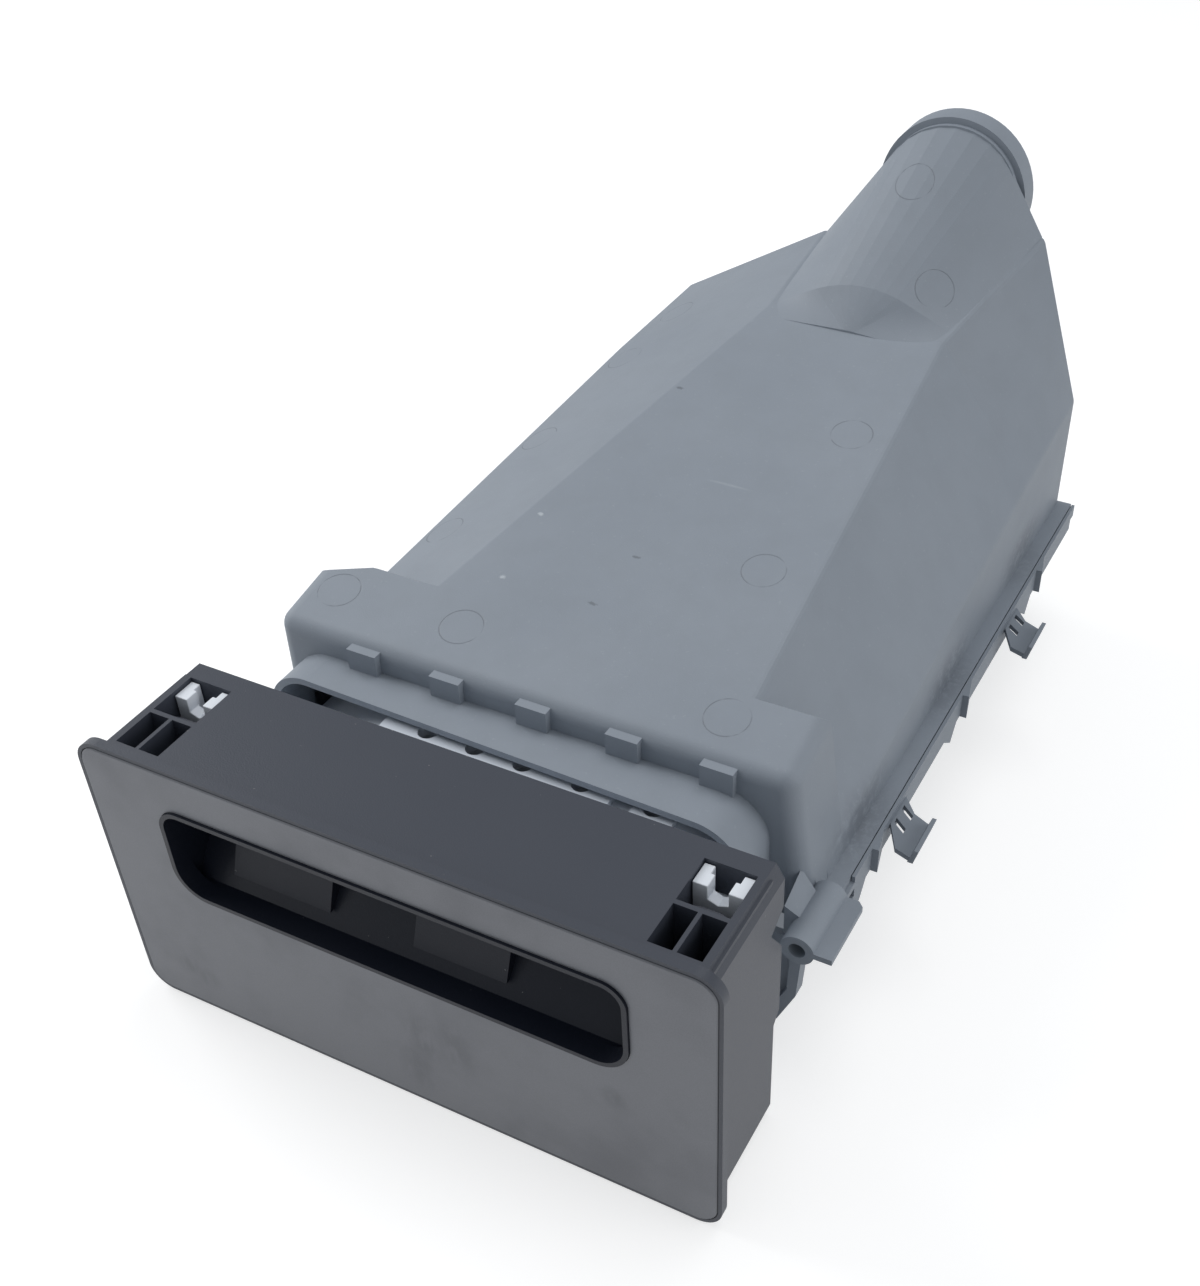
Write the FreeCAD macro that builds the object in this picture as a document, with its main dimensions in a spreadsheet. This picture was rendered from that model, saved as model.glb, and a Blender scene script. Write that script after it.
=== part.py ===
"""Detergent dispenser of a washing machine: a drawer in its housing, as a parametric document.

It is modelled in the pose in which it lies upside down on a table. X runs along the drawer front,
Y runs back into the machine and Z runs up. The origin is on the edge that it stands on, in the
middle of the fascia plate. "Top" and "bottom" are those of this pose.
"""
import FreeCAD, Part
import Sketcher
import PartDesign
import math
import os

DOC = FreeCAD.newDocument("dispenser")
SHEET = DOC.addObject("Spreadsheet::Sheet", "Sizes")

DRIVING_SIZES = [
    # the drawer front
    ("fascia_width", 200.0), ("fascia_height", 102.0), ("fascia_corner", 8.0),
    ("plate_thick", 1.4), ("plate_rim", 1.2), ("plate_gap", 0.15), ("plate_proud", 0.4),
    ("slot_height", 30.5), ("slot_drop", 16.5), ("slot_low_corner", 9.0),
    ("slot_high_corner", 6.0), ("soft_edge", 0.5),
    # the dark carrier behind the fascia plate
    ("front_thick", 3.2), ("carrier_inset", 4.4), ("carrier_bottom", 4.0), ("carrier_drop", 3.2),
    ("carrier_rear", 44.4), ("carrier_wall", 2.2), ("chamfer_side", 2.5), ("chamfer_down", 4.5),
    ("low_cut_reach", 3.4), ("low_cut_level", 39.5), ("low_cut_rise", 3.4),
    ("cell_side", 2.4), ("cell_width", 15.0), ("cell_front", 6.5), ("cell_length", 14.0),
    ("rear_cell_length", 16.0), ("cell_rib", 1.5), ("cell_depth", 22.0), ("cell_split", 1.2),
    ("arc_rib_half", 6.6), ("arc_rib_reach", 4.6), ("arc_rib_round", 4.4), ("arc_rib_thick", 1.2),
    ("arc_rib_drop", 4.8), ("notch_reach", 7.4), ("notch_top", 14.8), ("notch_tip", 19.3),
    ("notch_low", 29.8),
    # the finger recess
    ("cup_rim", 1.5), ("cup_rim_proud", 0.8), ("cup_lip", 3.0), ("cup_wall", 1.5),
    ("cup_gap", 0.5), ("cup_depth", 28.0), ("cup_roof", 6.5), ("cup_back", 10.0),
    ("cup_ledge", 4.0), ("cup_ledge_thick", 1.5), ("cup_block_left", 2.0),
    ("cup_block_width", 30.0), ("cup_block_reach", 7.0), ("cup_block_low", 4.0),
    ("cup_block_height", 12.0), ("cup_latch_left", -60.0), ("cup_latch_width", 34.0),
    # the clips in the rear cells and the tongues that they hold
    ("clip_leg", 2.8), ("clip_top_gap", 1.2), ("clip_bridge", 3.2), ("clip_step", 2.0),
    ("bridge_low", 14.0), ("bridge_high", 7.0), ("tongue_width", 7.2), ("tongue_drop", 10.8),
    ("tongue_thick", 4.0), ("seat_gap", 0.3),
    # the tray
    ("tray_left", 81.0), ("tray_right", 70.0), ("tray_top", 79.5), ("tray_rim", 16.0),
    ("tray_wall", 1.8), ("tray_rear", 297.0), ("tray_plate", 2.4), ("tray_well_rear", 70.0),
    ("left_slope_side", 38.0), ("left_slope_down", 17.5),
    ("right_slope_side", 15.0), ("right_slope_down", 13.5),
    ("left_divider", -22.0), ("right_divider", 23.0),
    ("band_front", 59.0), ("band_rear", 69.5), ("band_height", 2.0),
    ("band_right", 34.5), ("tail_inset", 0.4), ("tail_width", 13.2), ("tail_hole", 47.3),
    ("band_hole", 3.1), ("first_band_hole", -28.2), ("second_band_hole", -11.6),
    ("third_band_hole", 4.7), ("fourth_band_hole", 24.2),
    ("outlet_width", 26.0), ("outlet_height", 30.0), ("outlet_side", 4.0),
    ("rail_reach", 4.2), ("rail_height", 3.0), ("rail_drop", 7.6), ("rail_front", 78.0),
    ("rail_end", 7.0), ("rail_gap", 0.6), ("pipe_radius", 4.0), ("pipe_bore", 2.7),
    ("pipe_from_cap", 23.0), ("pipe_top_gap", 14.0),
    # the loose pieces of the tray
    ("cap_radius", 7.0), ("cap_wall", 1.2), ("cap_plate", 1.8), ("cap_sink", 6.0),
    ("cap_length", 50.0), ("cap_tab_gap", 9.0), ("cap_foot_gap", 3.0), ("cap_skirt", 5.0),
    ("flap_place", 150.0), ("flap_thick", 1.8), ("flap_barrel", 2.6), ("pin_radius", 1.5),
    ("pin_play", 0.06), ("pin_sink", 4.5), ("flap_gap", 0.4), ("flap_end_gap", 0.8),
    ("flap_rib_side", 8.0), ("flap_rib_thick", 1.2), ("flap_rib_end", 6.0),
    ("tab_from_rear", 33.0), ("tab_length", 26.0), ("tab_thick", 1.8), ("tab_half", 9.0),
    ("tab_rib", 1.2), ("tab_rib_pitch", 3.5), ("tab_rib_side", 2.0), ("tab_clear", 1.2),
    ("hook_thick", 3.0),
    # the cover that closes the housing and carries the drawer
    ("shell_wall", 2.2), ("roof_level", 4.4), ("tunnel_corner", 14.0), ("tray_end_room", 6.8),
    ("parting_level", 45.6), ("flange_thick", 2.4), ("flange_reach", 6.8), ("rim_wall", 1.1),
    ("rim_gap", 0.3), ("skirt_depth", 4.2), ("skirt_start", 18.5), ("skirt_end", 3.5),
    ("runner_reach", 4.0), ("runner_height", 3.0), ("slide_gap", 0.3), ("runner_start", 6.0),
    ("foot_width", 2.4), ("foot_spread", 50.0), ("foot_start", 12.5), ("foot_end", 10.0),
    ("lug_reach", 2.2), ("lug_length", 13.0), ("lug_drop", 7.1), ("lug_root", 0.8),
    ("first_lug", 32.0), ("lug_pitch", 81.25), ("tooth_front", 16.5), ("tooth_tip", 8.4),
    ("tooth_rear", 3.0), ("tooth_drop", 12.4),
    ("first_clip", 45.5), ("second_clip", 157.0), ("clip_reach", 11.8), ("clip_thick", 1.8),
    ("clip_root_rear", 15.5), ("clip_root_front", 2.0), ("clip_knee", 5.2),
    ("clip_knee_rear", 9.2), ("clip_knee_front", 7.6), ("clip_end_rear", 6.2),
    ("clip_end_front", 9.8), ("clip_lip", 3.6), ("clip_lip_lean", 1.4),
    ("window_side", 3.0), ("window_place", 8.7), ("window_pitch", 6.4), ("window_long", 2.1),
    ("window_slant", 1.7), ("window_wide", 1.1),
    ("inlet_radius", 4.5), ("inlet_bore", 2.5), ("inlet_length", 28.0),
    ("first_inlet", -45.0), ("second_inlet", 0.5), ("third_inlet", 46.0),
    ("stop_width", 20.0), ("stop_thick", 3.0), ("stop_grip", 1.6), ("stop_inset", 8.1),
    ("strut_front", 64.5), ("strut_thick", 5.0), ("strut_width", 3.6), ("strut_knee_in", 1.4),
    ("strut_knee_level", 25.0), ("strut_ankle_in", 7.0), ("strut_ankle_level", 12.0),
    ("strut_foot_level", 7.0),
    # the perforated plate
    ("channel_height", 5.2), ("channel_plate", 1.6), ("channel_side_gap", 3.3),
    ("channel_start", 14.4), ("channel_rib", 1.4), ("shower_wide", 22.0), ("shower_long", 1.8),
    ("shower_pitch", 22.0), ("shower_first", 21.0),
    # the sump housing
    ("mouth_front", 60.6), ("mouth_slant", 4.0), ("mouth_over", 1.7), ("mouth_corner", 13.5),
    ("block_front", 77.5), ("block_length", 26.5), ("block_left_length", 23.5),
    ("block_back_side", 9.0), ("block_back_reach", 8.0), ("block_back_cut", 3.0),
    ("left_room", 5.0),
    ("right_room", 13.0), ("left_draft", 1.0), ("right_draft", 8.0), ("block_over", 11.3),
    ("floor_slope", 0.2), ("block_round", 5.5), ("block_corner", 8.0), ("sump_end_room", 14.0),
    ("flange_end", 1.0), ("sump_flange", 2.5), ("slope_start", 14.5), ("nose_length", 54.0),
    ("step_length", 5.0), ("tab_width", 10.4), ("tab_pitch", 29.9), ("tab_depth", 2.4),
    ("tab_height", 7.4), ("tab_centre", 1.3), ("ridge_round", 3.0), ("crease_round", 6.0),
    ("ridge_left_front", -57.1), ("ridge_right_front", 62.4), ("ridge_left_step", -11.5),
    ("ridge_right_step", 54.3), ("ridge_left_rear", -13.0), ("ridge_right_rear", 70.0),
    ("ridge_left_top", 139.0), ("ridge_right_top", 152.0),
    ("left_edge_front", 7.0), ("left_edge_step", 19.5), ("left_edge_rear", 23.0),
    ("left_level_front", 35.4), ("left_level_step", 56.4), ("left_level_rear", 60.4),
    ("right_level_front", 5.3), ("right_level_step", 39.4), ("right_level_rear", 46.4),
    ("right_edge_front", 1.2), ("right_edge_step", 0.4),
    ("spout_side", 34.0), ("spout_level", 160.0), ("spout_radius", 27.2), ("spout_bore", 24.0),
    ("spout_neck", 25.0), ("spout_shoulder", 2.4), ("spout_groove", 1.6), ("spout_length", 10.9),
    ("spout_lip", 1.2), ("nose_round", 25.5), ("nose_shift", 1.0), ("nose_rise", 44.5),
    ("nose_inset", 0.6), ("nose_sink", 8.0), ("nose_cone", 11.0), ("nose_cone_drop", 19.0),
    ("nose_cone_step", 3.5), ("step_round", 40.0), ("step_rise", 16.0),
    ("step_foot", 0.8), ("spout_sink", 0.5),
    ("boss_reach", 3.7), ("boss_rise", 4.6), ("boss_radius", 5.2), ("boss_bore", 2.6),
    ("boss_front", 60.0), ("boss_length", 24.5), ("wing_reach", 10.6), ("wing_thick", 2.0),
    ("wing_corner", 1.8), ("gusset_start", 8.2), ("gusset_side", 7.6), ("gusset_rise", 6.8),
    ("gusset_climb", 4.6),
]


class Size:
    """A length with its formula, so that a feature can be bound to the sheet."""

    def __init__(self, text, number):
        self.text = text
        self.number = number

    @staticmethod
    def of(thing):
        return thing if isinstance(thing, Size) else Size(repr(float(thing)), float(thing))

    def __add__(self, other):
        other = Size.of(other)
        return Size(f"({self.text} + {other.text})", self.number + other.number)

    def __sub__(self, other):
        other = Size.of(other)
        return Size(f"({self.text} - {other.text})", self.number - other.number)

    def __mul__(self, other):
        other = Size.of(other)
        return Size(f"({self.text} * {other.text})", self.number * other.number)

    def __truediv__(self, other):
        other = Size.of(other)
        return Size(f"({self.text} / {other.text})", self.number / other.number)

    def __neg__(self):
        return Size(f"(0 - {self.text})", -self.number)

    def __radd__(self, other):
        return Size.of(other) + self

    def __rsub__(self, other):
        return Size.of(other) - self

    def __rmul__(self, other):
        return Size.of(other) * self


class SizeTable:
    """The sheet's aliases as attributes."""


S = SizeTable()
for row, (alias, number) in enumerate(DRIVING_SIZES, start=1):
    SHEET.set(f"A{row}", alias)
    SHEET.set(f"B{row}", repr(number))
    SHEET.setAlias(f"B{row}", alias)
    setattr(S, alias, Size(f"Sizes.{alias}", number))
DOC.recompute()

NORMAL_FORWARD = {"XY_Plane": True, "YZ_Plane": True, "XZ_Plane": False}
ZERO = Size.of(0)


def new_body(label):
    body = DOC.addObject("PartDesign::Body", label)
    body.Label = label
    body.Placement = FreeCAD.Placement()
    return body


def plane(body, role):
    for feature in body.Origin.OriginFeatures:
        if feature.Role == role:
            return feature
    raise ValueError(role)


def new_sketch(body, name, role, level):
    """A sketch parallel to one of the body's own planes, at a level along its axis."""
    sketch = body.newObject("Sketcher::SketchObject", name)
    sketch.AttachmentSupport = [(plane(body, role), "")]
    sketch.MapMode = "FlatFace"
    offset = Size.of(level) if NORMAL_FORWARD[role] else -Size.of(level)
    sketch.setExpression(".AttachmentOffset.Base.z", offset.text)
    return sketch


def tie(sketch, kind, parts, size):
    """Add a dimension and bind it to its formula."""
    index = sketch.addConstraint(Sketcher.Constraint(kind, *parts, size.number))
    sketch.setExpression(f"Constraints[{index}]", size.text)


def tie_point(sketch, geometry, end, x, y):
    tie(sketch, "DistanceX", (-1, 1, geometry, end), x)
    tie(sketch, "DistanceY", (-1, 1, geometry, end), y)


def draw_circle(sketch, x, y, radius):
    x, y, radius = Size.of(x), Size.of(y), Size.of(radius)
    centre = FreeCAD.Vector(x.number, y.number, 0)
    index = sketch.addGeometry(Part.Circle(centre, FreeCAD.Vector(0, 0, 1), radius.number))
    tie_point(sketch, index, 3, x, y)
    tie(sketch, "Radius", (index,), radius)


def draw_outline(sketch, corners):
    """A closed outline through corners (x, y), or (x, y, radius) where the corner is round."""
    corners = [tuple(Size.of(value) for value in corner) for corner in corners]
    points = [FreeCAD.Vector(corner[0].number, corner[1].number, 0) for corner in corners]
    count = len(corners)
    starts, ends, arcs = {}, {}, {}
    for i in range(count):
        before = (points[i - 1] - points[i]).normalize()
        after = (points[(i + 1) % count] - points[i]).normalize()
        if len(corners[i]) == 2:
            ends[i], starts[i] = points[i], points[i]
            continue
        radius = corners[i][2].number
        half = before.getAngle(after) / 2
        reach = radius / math.tan(half)
        middle = points[i] + (before + after).normalize() * (radius / math.sin(half))
        ends[i] = points[i] + before * reach
        starts[i] = points[i] + after * reach
        left_turn = before.cross(after).z < 0
        first, last = (ends[i], starts[i]) if left_turn else (starts[i], ends[i])
        angles = [math.atan2((p - middle).y, (p - middle).x) for p in (first, last)]
        circle = Part.Circle(middle, FreeCAD.Vector(0, 0, 1), radius)
        arcs[i] = (Part.ArcOfCircle(circle, angles[0], angles[1]), left_turn)
    lines = []
    for i in range(count):
        line = Part.LineSegment(starts[i], ends[(i + 1) % count])
        lines.append(sketch.addGeometry(line))
    for i in range(count):
        into, out = lines[i - 1], lines[i]
        if i not in arcs:
            sketch.addConstraint(Sketcher.Constraint("Coincident", into, 2, out, 1))
            tie_point(sketch, out, 1, corners[i][0], corners[i][1])
            continue
        arc, left_turn = arcs[i]
        index = sketch.addGeometry(arc)
        near, far = (1, 2) if left_turn else (2, 1)
        sketch.addConstraint(Sketcher.Constraint("Tangent", into, 2, index, near))
        sketch.addConstraint(Sketcher.Constraint("Tangent", out, 1, index, far))
        tie(sketch, "Radius", (index,), corners[i][2])
        corner = sketch.addGeometry(Part.Point(points[i]), True)
        tie_point(sketch, corner, 1, corners[i][0], corners[i][1])
        sketch.addConstraint(Sketcher.Constraint("PointOnObject", corner, 1, into))
        sketch.addConstraint(Sketcher.Constraint("PointOnObject", corner, 1, out))


def box_corners(left, right, low, high, radius=None):
    corners = [(left, low), (right, low), (right, high), (left, high)]
    return corners if radius is None else [corner + (radius,) for corner in corners]


def draw(sketch, outlines):
    for outline in outlines:
        if outline[0] == "circle":
            draw_circle(sketch, *outline[1:])
        else:
            draw_outline(sketch, outline)


def prism(body, name, role, start, end, outlines, kind):
    """A pad or a pocket from start to end along the axis that the plane is square to."""
    sketch = new_sketch(body, name + "_sketch", role, start)
    draw(sketch, outlines)
    before = body.Tip.Shape.Volume if body.Tip else 0.0
    feature = body.newObject("PartDesign::" + kind, name)
    feature.Profile = sketch
    feature.setExpression("Length", (Size.of(end) - Size.of(start)).text)
    feature.Reversed = NORMAL_FORWARD[role] == (kind == "Pocket")
    feature.Refine = False
    DOC.recompute()
    if "Invalid" in feature.State or "Error" in feature.State:
        raise ValueError(name + " failed")
    grown = feature.Shape.Volume - before
    if (grown <= 0) if kind == "Pad" else (grown >= 0):
        raise ValueError(name + " changes nothing")
    return feature


def pad(body, name, role, start, end, *outlines):
    return prism(body, name, role, start, end, outlines, "Pad")


def pocket(body, name, role, start, end, *outlines):
    return prism(body, name, role, start, end, outlines, "Pocket")


def loft(body, name, sections, kind="AdditiveLoft", role="XZ_Plane"):
    """A ruled loft through outlines (level, corners) on parallel planes."""
    sketches = []
    for number, (level, corners) in enumerate(sections, start=1):
        sketch = new_sketch(body, f"{name}_section{number}", role, level)
        draw(sketch, [corners])
        sketches.append(sketch)
    before = body.Tip.Shape.Volume if body.Tip else 0.0
    feature = body.newObject("PartDesign::" + kind, name)
    feature.Profile = sketches[0]
    feature.Sections = sketches[1:]
    feature.Ruled = True
    feature.Refine = False
    DOC.recompute()
    if "Invalid" in feature.State or abs(feature.Shape.Volume - before) < 1:
        raise ValueError(name + " failed")
    return feature


def round_edges(body, name, radius, choose, kind="Fillet"):
    """Fillet or chamfer the edges of the tip that choose() picks."""
    base = body.Tip
    names = [f"Edge{i}" for i, edge in enumerate(base.Shape.Edges, start=1) if choose(edge)]
    if not names:
        raise ValueError(name + " finds no edge")
    feature = body.newObject("PartDesign::" + kind, name)
    feature.Base = (base, names)
    size = Size.of(radius)
    feature.setExpression("Radius" if kind == "Fillet" else "Size", size.text)
    feature.Refine = False
    DOC.recompute()
    if "Invalid" in feature.State:
        raise ValueError(name + " failed")
    return feature


def near(a, b, slack=0.02):
    return abs(a - b) < slack


def bounds(edge):
    box = edge.BoundBox
    return box.XMin, box.XMax, box.YMin, box.YMax, box.ZMin, box.ZMax


# Lines that several pieces share

half_front = S.fascia_width / 2
plate_front = -S.plate_thick / 2
plate_back = S.plate_thick / 2
flange_front = plate_front + S.plate_proud
flange_back = flange_front + S.front_thick
box_half = half_front - S.carrier_inset
box_top = S.fascia_height - S.carrier_drop
inner_half_box = box_half - S.carrier_wall
inner_top = box_top - S.carrier_wall
cell_outer = inner_half_box - S.cell_side
cell_inner = cell_outer - S.cell_width
cell_middle = cell_outer - S.cell_width / 2
rear_cell_front = S.cell_front + S.cell_length + S.cell_rib
rear_cell_back = rear_cell_front + S.rear_cell_length
cells_back = rear_cell_back + S.cell_rib
cell_floor = box_top - S.cell_depth
slot_half = cell_inner - S.cell_rib - S.cup_gap - S.cup_wall
slot_top = S.fascia_height - S.slot_drop
slot_bottom = slot_top - S.slot_height
tongue_top = box_top - S.tongue_drop
tongue_bottom = tongue_top - S.tongue_thick
tray_plate_back = cells_back + S.tray_plate
pin_hole = S.pin_radius + S.pin_play
pin_level = S.tray_rim + S.pin_sink
tab_pivot = S.tray_rear - S.tab_from_rear
tab_rear = tab_pivot + S.tab_length
tunnel_left = S.tray_left + S.rail_reach + S.rail_gap
tunnel_right = S.tray_right + S.rail_reach + S.rail_gap
outer_left = tunnel_left + S.shell_wall
outer_right = tunnel_right + S.shell_wall
tunnel_rear = S.tray_rear + S.tray_end_room + S.shell_wall
tunnel_inside = tunnel_rear - S.shell_wall
sump_rear = tunnel_rear + S.sump_end_room
step_place = sump_rear - S.nose_length
wall_left = outer_left + S.left_room
wall_right = outer_right + S.right_room
flange_left = wall_left + S.flange_reach
flange_right = wall_right + S.flange_reach
flange_rear = sump_rear + S.flange_end
rim_width = S.rim_wall + S.rim_gap
flange_top = S.parting_level + S.sump_flange
flange_bottom = S.parting_level - S.flange_thick
rail_level = S.parting_level - S.rail_drop
mouth_top = S.tray_top + S.band_height + S.mouth_over
mouth_outer_top = mouth_top + S.shell_wall
block_level = mouth_top + S.block_over
block_rear = S.block_front + S.block_length
boss_side = wall_right + S.boss_reach
boss_level = S.parting_level + S.boss_rise
boss_rear = S.boss_front + S.boss_length
wing_side = boss_side + S.wing_reach


def slot_outline(offset):
    """The finger slot grown outwards by an offset."""
    low, high = slot_bottom - offset, slot_top + offset
    side = slot_half + offset
    low_round, high_round = S.slot_low_corner + offset, S.slot_high_corner + offset
    return [(-side, low, low_round), (side, low, low_round),
            (side, high, high_round), (-side, high, high_round)]


def both_sides(inner, outer, low, high):
    """Two boxes, mirrored about the middle."""
    return [box_corners(-outer, -inner, low, high), box_corners(inner, outer, low, high)]


def softened(corners, parts):
    """The outline with each round corner drawn as a few short straight lines."""
    outline = []
    for i, corner in enumerate(corners):
        if len(corner) == 2:
            outline.append(corner)
            continue
        x, y, radius = (Size.of(value) for value in corner)
        point = FreeCAD.Vector(x.number, y.number, 0)
        ends, legs = [], []
        for other in (corners[i - 1], corners[(i + 1) % len(corners)]):
            far_x, far_y = Size.of(other[0]), Size.of(other[1])
            legs.append(FreeCAD.Vector(far_x.number, far_y.number, 0) - point)
            ends.append((far_x, far_y))
        half = legs[0].getAngle(legs[1]) / 2
        reach = radius.number / math.tan(half)
        (start_x, start_y), (end_x, end_y) = [
            (x + (far_x - x) * (reach / leg.Length), y + (far_y - y) * (reach / leg.Length))
            for (far_x, far_y), leg in zip(ends, legs)]
        for step in range(parts + 1):
            u = step / parts
            first, middle, last = (1 - u) ** 2, 2 * u * (1 - u) * math.sin(half), u ** 2
            total = first + middle + last
            outline.append((start_x * (first / total) + x * (middle / total)
                            + end_x * (last / total),
                            start_y * (first / total) + y * (middle / total)
                            + end_y * (last / total)))
    return outline


def faceted_ring(x, y, radius, parts=12):
    """A round outline drawn as straight lines."""
    angles = [2 * math.pi * number / parts for number in range(parts)]
    return [(x + radius * math.cos(angle), y + radius * math.sin(angle)) for angle in angles]


def both_walls(depth, outset, front, rear):
    """Two walls seen from above, along the flange's left and right edges."""
    return [box_corners(-flange_left - outset, -flange_left + depth, front, rear),
            box_corners(flange_right - depth, flange_right + outset, front, rear)]


# The sump housing: the block over the mouth, the sloping floor, the nose and the spout

sump = new_body("sump_housing")


def floor_level(place):
    """The height of the sloping floor's ridge at a place along the housing."""
    return block_level + S.floor_slope * (Size.of(place) - S.block_front)


block_top = floor_level(block_rear) + S.block_round


def block_outline(left, right, inset=ZERO):
    """The block seen from above, with its slanting corner at the rear left."""
    front = S.block_front + inset
    rear = block_rear - inset
    left_rear = S.block_front + S.block_left_length - inset
    knee = S.ridge_left_front
    outline = [(left, front), (right, front)]
    if inset.number > 0:
        cut = S.block_corner - inset
        outline = [(left, front + cut), (left + cut, front),
                   (right - cut, front), (right, front + cut)]
    return outline + [(right, rear), (ZERO, rear),
                      (knee + S.block_corner, rear + S.block_round),
                      (knee, left_rear + S.block_back_reach),
                      (left + S.block_back_side * 2, left_rear + S.block_back_reach),
                      (left + S.block_back_side, left_rear + S.block_back_reach / 2),
                      (left, left_rear)]


def hollow_outline(level):
    """The block's hollow seen from above, following the lean of the side walls."""
    share = (Size.of(level) - S.parting_level) / (block_top - S.parting_level)
    return block_outline(-wall_left + S.left_draft * share + S.shell_wall,
                         wall_right - S.right_draft * share - S.shell_wall, S.shell_wall)


pad(sump, "block", "XY_Plane", S.parting_level, block_top,
    block_outline(-wall_left, wall_right))
pocket(sump, "block_leans", "XZ_Plane", S.block_front,
       S.block_front + S.block_left_length + S.block_back_reach,
       [(wall_right, S.parting_level), (wall_right + S.right_draft, S.parting_level),
        (wall_right + S.right_draft, block_top), (wall_right - S.right_draft, block_top)],
       [(-wall_left, S.parting_level), (-wall_left + S.left_draft, block_top),
        (-wall_left - S.left_draft, block_top), (-wall_left - S.left_draft, S.parting_level)])
slope_ahead = S.block_front - S.block_round
slope_behind = block_rear + S.block_back_reach + S.block_round
pocket(sump, "block_slope", "YZ_Plane", -wall_left - S.block_round, wall_right + S.block_round,
       [(slope_ahead, floor_level(slope_ahead)), (slope_behind, floor_level(slope_behind)),
        (slope_behind, block_top + S.block_round), (slope_ahead, block_top + S.block_round)])
round_edges(sump, "block_corners", S.block_round,
            lambda e: near(bounds(e)[3], S.block_front.number, 0.01)
            and bounds(e)[5] - bounds(e)[4] > S.block_length.number)
round_edges(sump, "block_back_edges", S.block_back_cut,
            lambda e: bounds(e)[4] > block_level.number - 0.5
            and bounds(e)[2] > (S.block_front + S.block_left_length).number - 0.01, "Chamfer")
round_edges(sump, "block_edges", S.block_round,
            lambda e: bounds(e)[4] > block_level.number - 0.5
            and near(bounds(e)[2], S.block_front.number, 0.01))


def floor_section(place, inset=ZERO):
    """One outline of the main shell, from the flange over the ridge and back."""
    share = (Size.of(place) - S.block_front) / (step_place - S.block_front)
    rear = (Size.of(place) - step_place) / (sump_rear - step_place)
    if Size.of(place).number <= step_place.number:
        def between(front, middle, last):
            return front + (middle - front) * share
    else:
        def between(front, middle, last):
            return middle + (last - middle) * rear
    front_ridge = floor_level(S.block_front)
    step_ridge = floor_level(step_place)
    left_ridge = between(front_ridge, step_ridge, S.ridge_left_top)
    right_ridge = between(front_ridge, step_ridge, S.ridge_right_top)
    left_edge = between(S.left_edge_front, S.left_edge_step, S.left_edge_rear)
    left_rise = between(S.left_level_front, S.left_level_step, S.left_level_rear)
    right_edge = between(S.right_edge_front, S.right_edge_step, ZERO)
    right_rise = between(S.right_level_front, S.right_level_step, S.right_level_rear)
    left_x = between(S.ridge_left_front, S.ridge_left_step, S.ridge_left_rear)
    right_x = between(S.ridge_right_front, S.ridge_right_step, S.ridge_right_rear)
    left, right = -wall_left + inset, wall_right - inset
    base = S.parting_level - inset / 2
    sink = S.sump_flange / 2
    foot = S.parting_level - sink if inset.number > 0 else S.parting_level + sink
    corners = [(left, foot), (right, foot),
               (right - right_edge, base + right_rise), (right_x, right_ridge - inset),
               (left_x, left_ridge - inset), (left + left_edge, base + left_rise)]
    if inset.number > 0:
        return corners
    rounds = [None, None, S.crease_round, S.ridge_round, S.ridge_round, S.ridge_round]
    return softened([corner if bend is None else corner + (bend,)
                     for corner, bend in zip(corners, rounds)], 3)


floor_start = S.block_front + S.slope_start
loft(sump, "floor", [(floor_start, floor_section(floor_start)),
                     (step_place, floor_section(step_place)),
                     (sump_rear, floor_section(sump_rear))])


def nose_section(place, rise, shift, corner):
    """The nose over the ridge: a rounded arch whose foot is sunk into the floor."""
    rear = (Size.of(place) - step_place) / (sump_rear - step_place)
    step_ridge = floor_level(step_place)
    left_x = S.ridge_left_step + (S.ridge_left_rear - S.ridge_left_step) * rear
    right_x = S.ridge_right_step + (S.ridge_right_rear - S.ridge_right_step) * rear
    left_z = step_ridge + (S.ridge_left_top - step_ridge) * rear
    right_z = step_ridge + (S.ridge_right_top - step_ridge) * rear
    return softened([(left_x + S.nose_inset, left_z - S.nose_inset), (shift, rise, corner),
                     (right_x - S.nose_inset, right_z - S.nose_inset),
                     ((left_x + right_x) / 2, left_z - S.nose_sink)], 8)


step_rear = step_place + S.step_length
step_front = step_place - S.step_length
step_middle = (S.ridge_left_step + S.ridge_right_step) / 2
nose_top = S.spout_level + S.nose_rise
step_top = floor_level(step_place) + S.step_rise
loft(sump, "nose", [
    (step_front, nose_section(step_front, floor_level(step_front) + S.step_foot, step_middle,
                              S.step_round)),
    (step_rear, nose_section(step_rear, step_top, step_middle, S.step_round)),
    (sump_rear, nose_section(sump_rear, nose_top, S.spout_side + S.nose_shift, S.nose_round))])

pad(sump, "flange", "XY_Plane", S.parting_level, flange_top,
    box_corners(-flange_left + rim_width, flange_right - rim_width, S.block_front, flange_rear))


def mouth_outline(offset):
    """The upper half of the collar round the drawer, grown outwards by an offset."""
    left, right = -tunnel_left - offset, tunnel_right + offset
    top, corner = mouth_top + offset, S.mouth_corner + offset
    return [(left, S.parting_level), (right, S.parting_level), (right, top, corner),
            (left, top, corner)]


def slant_outline():
    """What is cut off the collar's front, seen from above, so that it slants a little."""
    ahead = S.mouth_front - S.mouth_slant
    return [(-outer_left, ahead), (outer_right, ahead), (outer_right, S.mouth_front),
            (-outer_left, S.mouth_front + S.mouth_slant)]


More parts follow.
